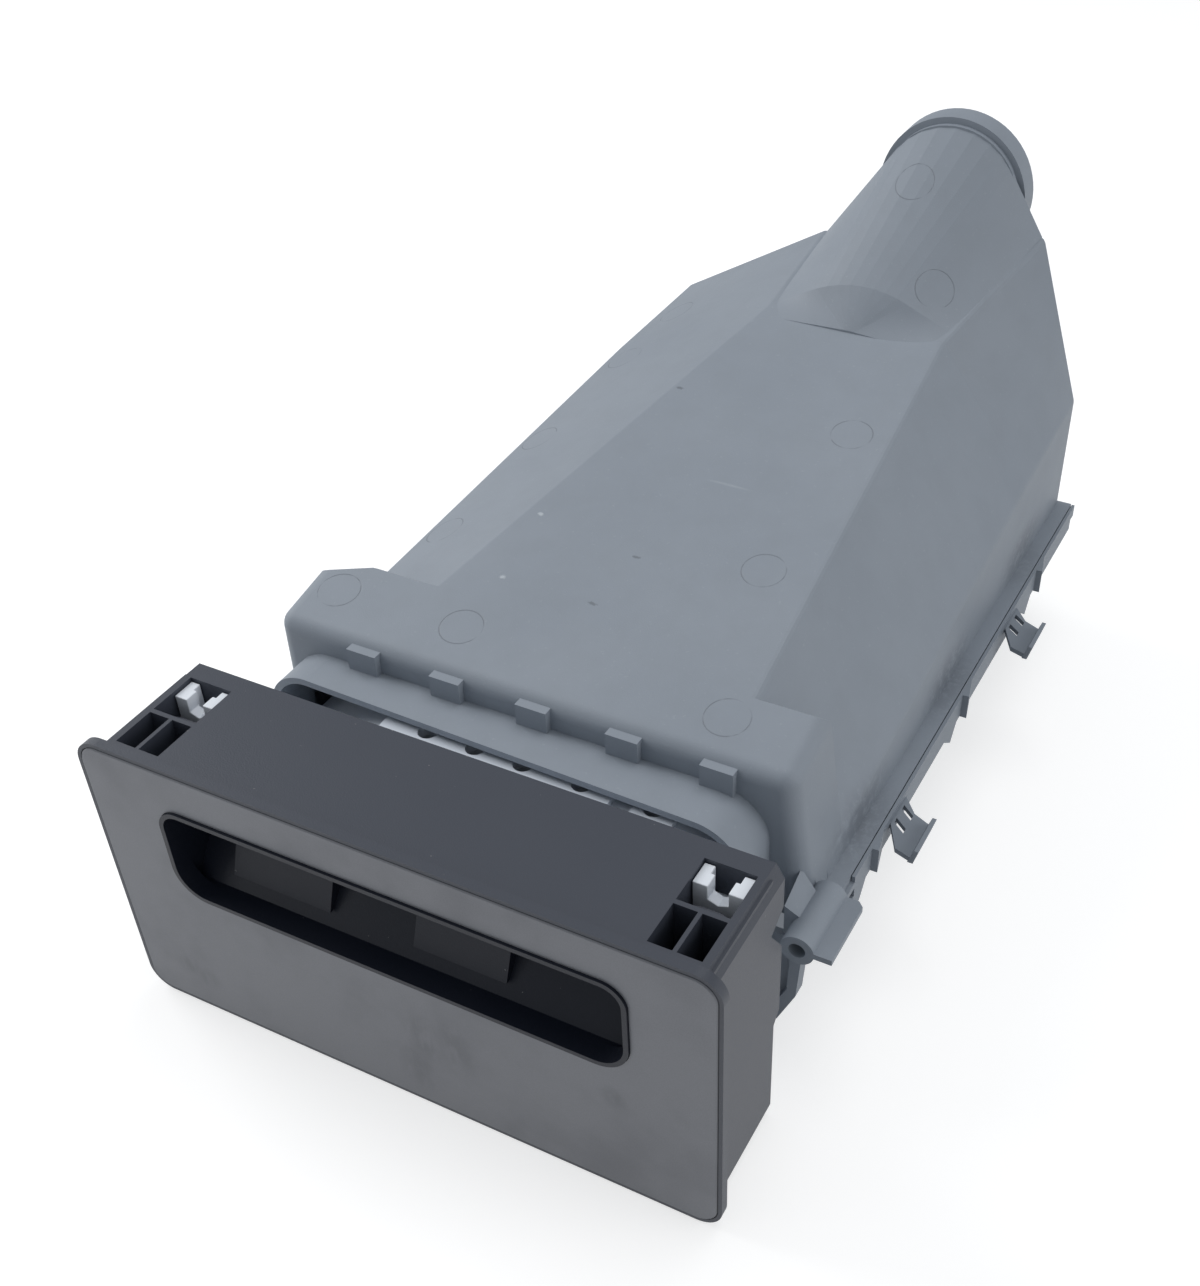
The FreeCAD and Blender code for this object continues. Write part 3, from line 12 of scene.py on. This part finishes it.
import bmesh
import bpy
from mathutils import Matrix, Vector

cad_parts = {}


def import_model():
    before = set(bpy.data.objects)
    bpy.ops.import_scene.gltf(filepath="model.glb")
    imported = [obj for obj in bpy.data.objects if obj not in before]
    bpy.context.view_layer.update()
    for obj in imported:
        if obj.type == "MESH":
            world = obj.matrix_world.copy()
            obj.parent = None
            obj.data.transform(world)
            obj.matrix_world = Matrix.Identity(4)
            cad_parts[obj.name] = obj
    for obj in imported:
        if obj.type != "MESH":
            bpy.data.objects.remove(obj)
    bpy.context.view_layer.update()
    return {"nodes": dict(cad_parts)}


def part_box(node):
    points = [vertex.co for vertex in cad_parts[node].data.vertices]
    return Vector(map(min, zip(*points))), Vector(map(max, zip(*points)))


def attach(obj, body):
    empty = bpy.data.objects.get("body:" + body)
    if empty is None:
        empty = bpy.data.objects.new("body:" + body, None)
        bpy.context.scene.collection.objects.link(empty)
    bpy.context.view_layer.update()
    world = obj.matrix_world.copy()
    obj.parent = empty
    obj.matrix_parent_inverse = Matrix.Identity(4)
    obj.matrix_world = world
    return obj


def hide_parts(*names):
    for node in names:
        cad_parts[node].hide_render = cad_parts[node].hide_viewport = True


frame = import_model()
nodes = frame["nodes"]
print("parts:", ", ".join(sorted(nodes)))

# %% [markdown]
# The camera stands to the right of the drawer front and above it. Its place and angles were found
# from the edges of the front and the flange. The object sits low and to the right in the frame, so
# the lens is shifted by a few percent, as when a picture has been cropped: the pixel that the lens
# looks at is not the middle one.

# %% Camera
PICTURE = (1200, 1286)
LENS_CENTRE = (670.0, 745.0)
FOCAL_PIXELS = 1583.0
SENSOR = 36.0
CAMERA_PLACE = (0.2026, -0.2171, 0.3841)
CAMERA_ANGLES = (49.03, 0.91, 27.25)

across, down = PICTURE
lens = bpy.data.cameras.new("camera_lens")
lens.sensor_width = SENSOR
lens.lens = FOCAL_PIXELS * SENSOR / down
lens.shift_x = -(LENS_CENTRE[0] - across / 2) / down
lens.shift_y = (LENS_CENTRE[1] - down / 2) / down
lens.clip_start = 0.01
camera = bpy.data.objects.new("camera", lens)
camera.location = CAMERA_PLACE
camera.rotation_euler = [math.radians(angle) for angle in CAMERA_ANGLES]
bpy.context.scene.collection.objects.link(camera)
bpy.context.scene.camera = camera
print("lens", round(lens.lens, 2), "mm")

# %% [markdown]
# A spare part is photographed on white with big soft lamps. One large lamp stands on the left,
# because the slope that faces it is the palest face. A weaker one on the right fills the wall
# on that side, and a small low one in front on the left gives the silver plate its sheen there.
# The faces that look forward stay dark, so there is no large lamp beside the camera.

# %% Lamps
AIM = Vector((0.0, 0.16, 0.06))
# The place, the width in metres and the power in watts of each lamp.
LAMPS = {
    "lamp_left": ((-1.15, 0.15, 0.85), 0.9, 10.0),
    "lamp_top": ((0.15, 0.45, 1.3), 0.9, 4.0),
    "lamp_right": ((1.1, 0.25, 0.55), 0.8, 3.5),
    "lamp_front": ((-0.9, -0.8, 0.25), 0.5, 1.0),
}


def area_lamp(name, place, width, power):
    """A round soft lamp that looks at the middle of the dispenser."""
    light = bpy.data.lights.new(name, "AREA")
    light.shape = "DISK"
    light.size = width
    light.energy = power
    lamp = bpy.data.objects.new(name, light)
    lamp.location = place
    lamp.rotation_euler = (AIM - Vector(place)).to_track_quat("-Z", "Y").to_euler()
    bpy.context.scene.collection.objects.link(lamp)


for name, (place, width, power) in LAMPS.items():
    area_lamp(name, place, width, power)
print("lamps:", ", ".join(LAMPS))

# %% [markdown]
# Blender's materials are graphs of small nodes. To write them as sums, this class wraps the socket
# that holds a value and overloads the operators, so that a mask or a noise can be added,
# multiplied and compared as any number.

# %% Shader maths
class Value:
    """A number that varies over a surface: the output socket of a node."""

    def __init__(self, finish, socket):
        self.finish = finish
        self.socket = socket

    def maths(self, operation, *others):
        inputs = dict(enumerate((self, *others)))
        return self.finish.node("ShaderNodeMath", {"operation": operation}, inputs)

    def __add__(self, other):
        return self.maths("ADD", other)

    __radd__ = __add__

    def __mul__(self, other):
        return self.maths("MULTIPLY", other)

    __rmul__ = __mul__

    def __sub__(self, other):
        return self.maths("SUBTRACT", other)

    def __rsub__(self, other):
        return self * -1.0 + other

    def __abs__(self):
        return self.maths("ABSOLUTE")

    def above(self, edge, soft):
        """0 under the edge and 1 over it, with a soft step to both sides."""
        settings = {"interpolation_type": "SMOOTHSTEP"}
        inputs = {0: self, 1: edge - soft, 2: edge + soft, 3: 0.0, 4: 1.0}
        return self.finish.node("ShaderNodeMapRange", settings, inputs)

    def below(self, edge, soft):
        """1 under the edge and 0 over it."""
        return 1.0 - self.above(edge, soft)

    def at_least(self, other):
        return self.maths("MAXIMUM", other)

    def at_most(self, other):
        return self.maths("MINIMUM", other)


print("a value knows:", ", ".join(word for word in vars(Value) if word[0] != "_"))

# %% [markdown]
# A finish owns the graph of one material. All of its patterns are drawn on Object coordinates,
# that is by the place on the part in metres, so they stay where they are when the drawer moves.
# The noise gives grain and drift, and the distance to a named place gives the single marks.

# %% Finishes
MILLIMETRES = 1000.0
EVENLY = (1.0, 1.0, 1.0)


class Finish:
    """One material and the nodes that it is made of."""

    def __init__(self, name):
        self.material = bpy.data.materials.new(name)
        self.material.use_nodes = True
        self.tree = self.material.node_tree
        self.tree.nodes.clear()
        coordinates = self.tree.nodes.new("ShaderNodeTexCoord")
        self.place = Value(self, coordinates.outputs["Object"])

    def node(self, kind, settings, inputs, output=0):
        """A node with its settings made first, then its sockets filled or linked."""
        node = self.tree.nodes.new(kind)
        for key, setting in settings.items():
            setattr(node, key, setting)
        for key, value in inputs.items():
            if isinstance(value, Value):
                self.tree.links.new(value.socket, node.inputs[key])
            else:
                node.inputs[key].default_value = value
        if node.outputs:
            return Value(self, node.outputs[output])

    def vector(self, operation, first, second=EVENLY, output=0):
        """A sum on a place or a colour."""
        settings = {"operation": operation}
        return self.node("ShaderNodeVectorMath", settings, {0: first, 1: second}, output)

    def inward(self):
        """How far a point lies behind the front, in millimetres."""
        return self.node("ShaderNodeSeparateXYZ", {}, {0: self.place}, "Y") * MILLIMETRES

    def noise(self, scale, detail, roughness, stretch=EVENLY):
        """A noise of 0 to 1, with features of about 1/scale metres."""
        inputs = {"Vector": self.vector("MULTIPLY", self.place, stretch)}
        inputs.update({"Scale": scale, "Detail": detail, "Roughness": roughness})
        return self.node("ShaderNodeTexNoise", {}, inputs)

    def distance(self, centre, squeeze=EVENLY):
        """How far a point is from a place in millimetres; a squeeze makes a long spot of it."""
        metres = tuple(part / MILLIMETRES for part in centre)
        away = self.vector("SUBTRACT", self.place, metres)
        squeezed = self.vector("MULTIPLY", away, squeeze)
        return self.vector("LENGTH", squeezed, output=1) * MILLIMETRES

    def nearest(self, centres, squeeze=EVENLY):
        """The distance to the nearest of several places."""
        closest = self.distance(centres[0], squeeze)
        for centre in centres[1:]:
            closest = closest.at_most(self.distance(centre, squeeze))
        return closest

    def mixed(self, factor, first, second):
        """A colour between two colours. Sockets 6 and 7 of the Mix node are its colours."""
        inputs = {0: factor}
        for key, shade in ((6, first), (7, second)):
            inputs[key] = shade if isinstance(shade, Value) else (*shade, 1.0)
        settings = {"data_type": "RGBA", "clamp_factor": True}
        return self.node("ShaderNodeMix", settings, inputs, 2)

    def surface(self, colour, roughness, height, depth, fixed=None):
        """The shader of a plastic: its colour, its gloss, and its relief in metres."""
        relief = {"Strength": 1.0, "Distance": depth, "Height": height}
        inputs = {"Base Color": colour, "Roughness": roughness}
        inputs["Normal"] = self.node("ShaderNodeBump", {}, relief)
        inputs.update(fixed or {})
        shader = self.node("ShaderNodeBsdfPrincipled", {}, inputs)
        self.node("ShaderNodeOutputMaterial", {}, {"Surface": shader})
        return self.material


def dress(names, material):
    """Gives CAD parts a finish."""
    for name in names:
        for slot in nodes[name].material_slots:
            slot.material = material
    print(material.name, "on", ", ".join(names))


# %% [markdown]
# The floor is a plain board. The camera and the gloss see it white, through Light Path, while the
# light that bounces from it to the part is that of a grey board, so that it doesn't wash out the
# parts. It lies a hair below the part, because two faces in one plane would flicker.

# %% Floor
FLOOR_DROP = 0.0004
FLOOR_REACH = 6.0
PAPER_GLOW = 0.62
PAPER_GREY = 0.55

board = bmesh.new()
bmesh.ops.create_grid(board, x_segments=1, y_segments=1, size=FLOOR_REACH)
bmesh.ops.translate(board, verts=board.verts, vec=(0.0, 0.0, -FLOOR_DROP))
floor_mesh = bpy.data.meshes.new("floor")
board.to_mesh(floor_mesh)
board.free()
floor = bpy.data.objects.new("floor", floor_mesh)
bpy.context.scene.collection.objects.link(floor)

paper = Finish("floor_paper")
glow = {"Color": (1.0, 1.0, 1.0, 1.0), "Strength": PAPER_GLOW}
white = paper.node("ShaderNodeEmission", {}, glow)
grey = {"Color": (PAPER_GREY, PAPER_GREY, PAPER_GREY, 1.0)}
card = paper.node("ShaderNodeBsdfDiffuse", {}, grey)
camera_ray = paper.node("ShaderNodeLightPath", {}, {}, "Is Camera Ray")
glossy_ray = paper.node("ShaderNodeLightPath", {}, {}, "Is Glossy Ray")
both = paper.node("ShaderNodeAddShader", {}, {0: white, 1: card})
looks = {0: camera_ray.at_least(glossy_ray), 1: card, 2: both}
shown = paper.node("ShaderNodeMixShader", {}, looks)
paper.node("ShaderNodeOutputMaterial", {}, {"Surface": shown})
floor_mesh.materials.append(paper.material)
print("floor at z =", -FLOOR_DROP)

# %% [markdown]
# The studio round it is a pale, slightly blue world that lights all sides weakly. The camera sees
# a backdrop in its place that is about as white as the far end of the floor. The Standard view
# shows a colour as it is written, so the finishes can be matched by their numbers.

# %% World
SKY_SHADE = (0.92, 0.96, 1.0, 1.0)
SKY_STRENGTH = 0.40
BACKDROP_STRENGTH = 0.86

world = bpy.data.worlds.new("studio")
bpy.context.scene.world = world
world.use_nodes = True
world_nodes = world.node_tree.nodes
sky = world_nodes["Background"]
sky.inputs["Color"].default_value = SKY_SHADE
sky.inputs["Strength"].default_value = SKY_STRENGTH
backdrop = world_nodes.new("ShaderNodeBackground")
backdrop.inputs["Strength"].default_value = BACKDROP_STRENGTH
ray = world_nodes.new("ShaderNodeLightPath")
choice = world_nodes.new("ShaderNodeMixShader")
world_output = world_nodes["World Output"]
world_links = world.node_tree.links
world_links.new(ray.outputs["Is Camera Ray"], choice.inputs[0])
world_links.new(sky.outputs[0], choice.inputs[1])
world_links.new(backdrop.outputs[0], choice.inputs[2])
world_links.new(choice.outputs[0], world_output.inputs["Surface"])
bpy.context.scene.view_settings.view_transform = "Standard"
print("world strength:", SKY_STRENGTH)

# %% [markdown]
# The pins that push the housing out of its mould leave round witness marks, a fine broken ring
# each: a shallow groove with a dark line of painted shade along it. Its handling leaves nicks,
# a scratch, and dark smudges at the foot of the right wall.
# They could be painted in an image, but the file stays small when each is drawn by how far a point
# is from a named place, and a noise makes the rings fade here and there. Places are in millimetres.

# %% Places of the marks
PIN_RADIUS = 6.9
TOP_PINS = [(-79.0, 94.0, 97.8), (-34.0, 94.5, 97.9), (56.5, 92.0, 97.4), (42.0, 147.5, 108.5),
            (43.0, 213.0, 121.6)]
SLOPE_PINS = [(-73.0, 143.5, 92.5), (-69.5, 200.0, 99.0), (-64.5, 255.0, 105.5),
              (-60.0, 289.0, 110.0)]
NOSE_PINS = [(45.0, 279.5, 144.0), (26.5, 303.0, 170.0)]
PINS = TOP_PINS + SLOPE_PINS + NOSE_PINS
DARK_NICKS = [(-21.2, 215.7, 122.1), (-0.7, 117.0, 102.4), (2.5, 139.0, 106.8)]
PALE_NICKS = [(-35.6, 145.5, 108.1), (-33.0, 117.0, 102.4)]
SCRATCH = (15.5, 178.0, 114.6)
SMUDGES = [(90.0, 272.0, 55.0), (90.0, 193.0, 52.5), (89.5, 117.0, 52.0)]
print("rings:", len(PINS), "nicks:", len(DARK_NICKS + PALE_NICKS))

# %% Masks of the marks
LONG_NICK = (0.45, 1.0, 1.0)
SHORT_NICK = (0.7, 1.0, 1.0)
THIN_LINE = (0.08, 1.0, 1.0)
LONG_SMUDGE = (1.0, 0.42, 1.0)


def mould_marks(finish):
    """A mask of 0 to 1 for each kind of mark."""
    broken = finish.noise(120.0, 2.0, 0.6).above(0.45, 0.09)
    # Each ring is a shallow groove, and the dark colour along it is painted shade; a noise breaks
    # it.
    ring_groove_and_shade = abs(finish.nearest(PINS) - PIN_RADIUS).below(0.16, 0.15)
    ragged = finish.noise(900.0, 2.0, 0.7) * 1.2
    dark = (finish.nearest(DARK_NICKS, LONG_NICK) + ragged).below(1.15, 0.25)
    pale = (finish.nearest(PALE_NICKS, SHORT_NICK) + ragged).below(1.25, 0.3)
    line = finish.distance(SCRATCH, THIN_LINE).below(0.45, 0.35)
    cloud = finish.noise(260.0, 3.0, 0.75)
    smudge = finish.nearest(SMUDGES, LONG_SMUDGE).below(7.0, 6.0)
    return {"ring_groove_and_shade": ring_groove_and_shade * broken, "dark": dark, "pale": pale.at_least(line * cloud * 0.6),
            "smudge": smudge * cloud.above(0.42, 0.16)}


print("masks: ring, dark, pale, smudge")

# %% [markdown]
# The housing is a grey polypropylene moulding. Its skin is finely grained, so it is matt, and the
# grey drifts a little from place to place. The cover is the same plastic, a touch darker and
# without the marks. A mark changes the colour, and all but the smudges also the relief.

# %% Grey moulding
MOTTLE_SHADE = (0.20, 0.225, 0.25)
FLECK_SHADE = (0.62, 0.66, 0.70)
GRAIN_RELIEF = 0.2
GREY_DEPTH = 0.00025
# The strength and the shade of each kind of mark, and how far it stands out or sinks in.
MARKS = {
    # The ring's dark colour is painted shade of its groove; its sunken relief is real.
    "ring_groove_and_shade": (0.46, (0.09, 0.10, 0.115), -0.4),
    "dark": (0.5, (0.07, 0.08, 0.09), -0.3),
    "pale": (0.55, (0.56, 0.60, 0.64), 0.3),
    "smudge": (0.42, (0.055, 0.062, 0.078), 0.0),
}


def grey_moulding(name, shade, darker, marked):
    finish = Finish(name)
    grain = finish.noise(2600.0, 3.0, 0.6)
    drift = finish.noise(14.0, 3.0, 0.55)
    mottle = finish.noise(95.0, 3.0, 0.6).above(0.55, 0.2)
    flecks = finish.noise(700.0, 2.0, 0.6).above(0.70, 0.05)
    tone = finish.mixed(drift.above(0.5, 0.3), shade, darker)
    tone = finish.mixed(mottle * 0.16, tone, MOTTLE_SHADE)
    tone = finish.mixed(flecks * 0.06, tone, FLECK_SHADE)
    height = grain * GRAIN_RELIEF
    masks = mould_marks(finish) if marked else {}
    for kind, mask in masks.items():
        strength, mark_shade, relief = MARKS[kind]
        tone = finish.mixed(mask * strength, tone, mark_shade)
        if relief:
            height = height + mask * relief
    rough = 0.50 + drift * 0.10 + grain * 0.06
    return finish.surface(tone, rough, height, GREY_DEPTH)


housing_grey = grey_moulding("housing_grey", (0.260, 0.291, 0.334), (0.238, 0.269, 0.312), True)
cover_grey = grey_moulding("cover_grey", (0.240, 0.270, 0.312), (0.213, 0.241, 0.280), False)
dress(["sump_housing"], housing_grey)
dress(["distributor_cover", "channel_plate"], cover_grey)

# %% [markdown]
# The drawer front is a dark grey carrier with a fine spark-eroded grain, a little glossier than
# the housing. The cup in it is nearly black and reflects less, because a hand has to find it as a
# dark hollow. Specular IOR Level sets how much it reflects, and it is the same all over a part.

# %% Dark mouldings
BLOOM_SHADE = (0.11, 0.11, 0.12)
DUST_SHADE = (0.3, 0.3, 0.3)
SPARK_DEPTH = 0.00005


def dark_moulding(name, shade, rough, shine):
    finish = Finish(name)
    grain = finish.noise(2200.0, 2.0, 0.6)
    drift = finish.noise(30.0, 2.0, 0.5)
    dust = finish.noise(420.0, 2.0, 0.7).above(0.76, 0.02)
    tone = finish.mixed(drift * 0.08, shade, BLOOM_SHADE)
    tone = finish.mixed(dust * 0.35, tone, DUST_SHADE)
    return finish.surface(tone, rough + grain * 0.10, grain, SPARK_DEPTH,
                          {"Specular IOR Level": shine})


dress(["front_carrier"], dark_moulding("carrier_dark", (0.040, 0.047, 0.065), 0.42, 0.5))
dress(["handle_cup"], dark_moulding("cup_dark", (0.008, 0.011, 0.021), 0.36, 0.28))

# %% [markdown]
# The silver plate is painted: tiny metal flakes under a satin lacquer. The flakes make the colour
# shimmer at the scale of a third of a millimetre. Fingers have left a few dark streaks and spots
# below the recess, and the plate's own edge is bare dark plastic, which draws a thin line round it.

# %% Silver plate
STREAKS = [(3.0, -0.7, 17.0), (18.0, -0.7, 33.0), (6.0, -0.7, 31.0)]
SPOTS = [(-73.8, -0.7, 15.3), (68.3, -0.7, 41.2), (-81.0, -0.7, 18.0)]
UPRIGHT = (1.0, 1.0, 0.55)
WIPED_DOWN = (1.0, 1.0, 0.35)
EDGE_BACK = -0.35
PAINT_DARK = (0.150, 0.157, 0.176)
PAINT_PALE = (0.205, 0.213, 0.235)
HAZE_SHADE = (0.10, 0.10, 0.11)
FINGER_SHADE = (0.045, 0.05, 0.065)
EDGE_SHADE = (0.030, 0.033, 0.040)
FLAKE_DEPTH = 0.00002

silver = Finish("fascia_silver")
flakes = silver.noise(3200.0, 1.0, 0.5)
haze = silver.noise(24.0, 4.0, 0.6).above(0.58, 0.16)
wipe = silver.noise(150.0, 3.0, 0.7, WIPED_DOWN).above(0.46, 0.12)
streak = silver.nearest(STREAKS, UPRIGHT).below(4.6, 4.4) * wipe
spot = silver.nearest(SPOTS).below(3.2, 3.0) * wipe
edge = silver.inward().above(EDGE_BACK, 0.12)
paint = silver.mixed(flakes, PAINT_DARK, PAINT_PALE)
paint = silver.mixed(haze * 0.14, paint, HAZE_SHADE)
paint = silver.mixed(streak.at_least(spot) * 0.30, paint, FINGER_SHADE)
paint = silver.mixed(edge, paint, EDGE_SHADE)
gloss = 0.40 + flakes * 0.08 + haze * 0.1
dress(["fascia_plate"], silver.surface(paint, gloss, flakes, FLAKE_DEPTH, {"Metallic": 0.35}))

# %% [markdown]
# The tray and the clips are white. The siphon cap and the gate are blue, as such loose pieces
# often are, so that people find them again after cleaning. One helper makes them all: a plain
# plastic with a light drift in its colour and a faint grain.

# %% White and blue mouldings
SMOOTH_DEPTH = 0.00004


def plain_moulding(name, shade, darker, rough):
    finish = Finish(name)
    grain = finish.noise(1800.0, 2.0, 0.5)
    drift = finish.noise(22.0, 2.0, 0.5)
    tone = finish.mixed(drift, shade, darker)
    return finish.surface(tone, rough + grain * 0.08, grain, SMOOTH_DEPTH)


tray_white = plain_moulding("tray_white", (0.60, 0.64, 0.70), (0.55, 0.59, 0.65), 0.40)
clip_white = plain_moulding("clip_white", (0.79, 0.82, 0.87), (0.74, 0.78, 0.84), 0.36)
cap_blue = plain_moulding("cap_blue", (0.06, 0.16, 0.42), (0.05, 0.13, 0.36), 0.30)
dress(["drawer_tray", "release_tab"], tray_white)
dress(["siphon_cap", "liquid_flap"], cap_blue)

# %% [markdown]
# The white clips look like an H from above: two legs and, a little below their tops, a web that
# sags between them. The CAD keeps a plain block for each. The H could be joined from three boxes,
# but then faces would lie inside it. Here half a clip grows out of one leg instead: a cube is the
# leg, cuts across it mark off where the thicker front part and the web begin, and those faces are
# pulled out. Sizes are in metres.

# %% Pulling faces out
def pulled(mesh, faces, move):
    """Extrudes faces by a move, drops the ones that are now inside, and returns the new ones."""
    grown = bmesh.ops.extrude_face_region(mesh, geom=faces)["geom"]
    bmesh.ops.delete(mesh, geom=faces, context="FACES")
    corners = [item for item in grown if isinstance(item, bmesh.types.BMVert)]
    bmesh.ops.translate(mesh, verts=corners, vec=move)
    return [item for item in grown if isinstance(item, bmesh.types.BMFace)]


def before(faces, depth):
    """The faces whose middle lies in front of a depth."""
    return [face for face in faces if face.calc_center_median().y < depth]


print("faces can be pulled out")

# %% Half a clip
LEG = 0.0031
LEG_STEP = 0.0012
STEP_DEPTH = 0.0046
WEB_DEPTH = 0.0038
WEB_DROP = 0.0046
WEB_HEIGHT = 0.0100
SAG = 0.0012
TO_THE_REAR = (0, 1, 0)
UP = (0, 0, 1)


def half_clip(mesh, low, high):
    """The right leg with its half of the web, which ends open at x = 0."""
    size = high - low
    centre = (low + high) / 2
    half_width = size.x / 2
    bmesh.ops.create_cube(mesh, size=1.0)
    bmesh.ops.scale(mesh, verts=mesh.verts, vec=(LEG, size.y, size.z))
    bmesh.ops.translate(mesh, verts=mesh.verts, vec=(half_width - LEG / 2, centre.y, centre.z))
    step_back = low.y + STEP_DEPTH
    web_back = low.y + WEB_DEPTH
    web_top = high.z - WEB_DROP
    web_foot = web_top - WEB_HEIGHT
    cuts = [((0, step_back, 0), TO_THE_REAR), ((0, web_back, 0), TO_THE_REAR),
            ((0, 0, web_top), UP), ((0, 0, web_foot), UP)]
    for place, normal in cuts:
        everything = mesh.verts[:] + mesh.edges[:] + mesh.faces[:]
        bmesh.ops.bisect_plane(mesh, geom=everything, plane_co=place, plane_no=normal)
    mesh.normal_update()
    inner = [face for face in mesh.faces if face.normal.x < -0.9]
    front = pulled(mesh, before(inner, step_back), (-LEG_STEP, 0, 0))
    web = [face for face in before(front, web_back)
           if web_foot < face.calc_center_median().z < web_top]
    seam = pulled(mesh, web, (LEG + LEG_STEP - half_width, 0, -SAG))
    bmesh.ops.delete(mesh, geom=seam, context="FACES")


print("leg", LEG, "m wide")

# %% [markdown]
# The half is mirrored while its middle is at x = 0, because the seam is welded there, and then it
# goes to its cell. The edges are rounded a little, as a mould leaves them. The clip starts behind
# the front of the CAD block, where the cell is empty, and rides on the drawer as the block does.

# %% Whole clips
SET_BACK = 0.0034
ROUNDING = 0.00025
WELD = 0.00001
SHARP = 1.0


def moulded_clip(block):
    low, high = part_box(block)
    low.y += SET_BACK
    mesh = bmesh.new()
    half_clip(mesh, low, high)
    everything = mesh.verts[:] + mesh.edges[:] + mesh.faces[:]
    bmesh.ops.mirror(mesh, geom=everything, merge_dist=WELD, axis="X")
    bmesh.ops.remove_doubles(mesh, verts=mesh.verts, dist=WELD)
    bmesh.ops.recalc_face_normals(mesh, faces=mesh.faces)
    bmesh.ops.translate(mesh, verts=mesh.verts, vec=((low.x + high.x) / 2, 0, 0))
    sharp = [edge for edge in mesh.edges if edge.calc_face_angle(0.0) > SHARP]
    bmesh.ops.bevel(mesh, geom=sharp, offset=ROUNDING, affect="EDGES", segments=2, profile=0.5,
                    material=-1)
    open_edges = sum(1 for edge in mesh.edges if not edge.is_manifold)
    shape = bpy.data.meshes.new(block + "_moulded")
    mesh.to_mesh(shape)
    mesh.free()
    shape.materials.append(clip_white)
    clip = bpy.data.objects.new(block + "_moulded", shape)
    bpy.context.scene.collection.objects.link(clip)
    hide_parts(block)
    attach(clip, "drawer")
    print(clip.name, len(shape.polygons), "faces, open edges:", open_edges)


for block in ("left_clip", "right_clip"):
    moulded_clip(block)

# %% [markdown]
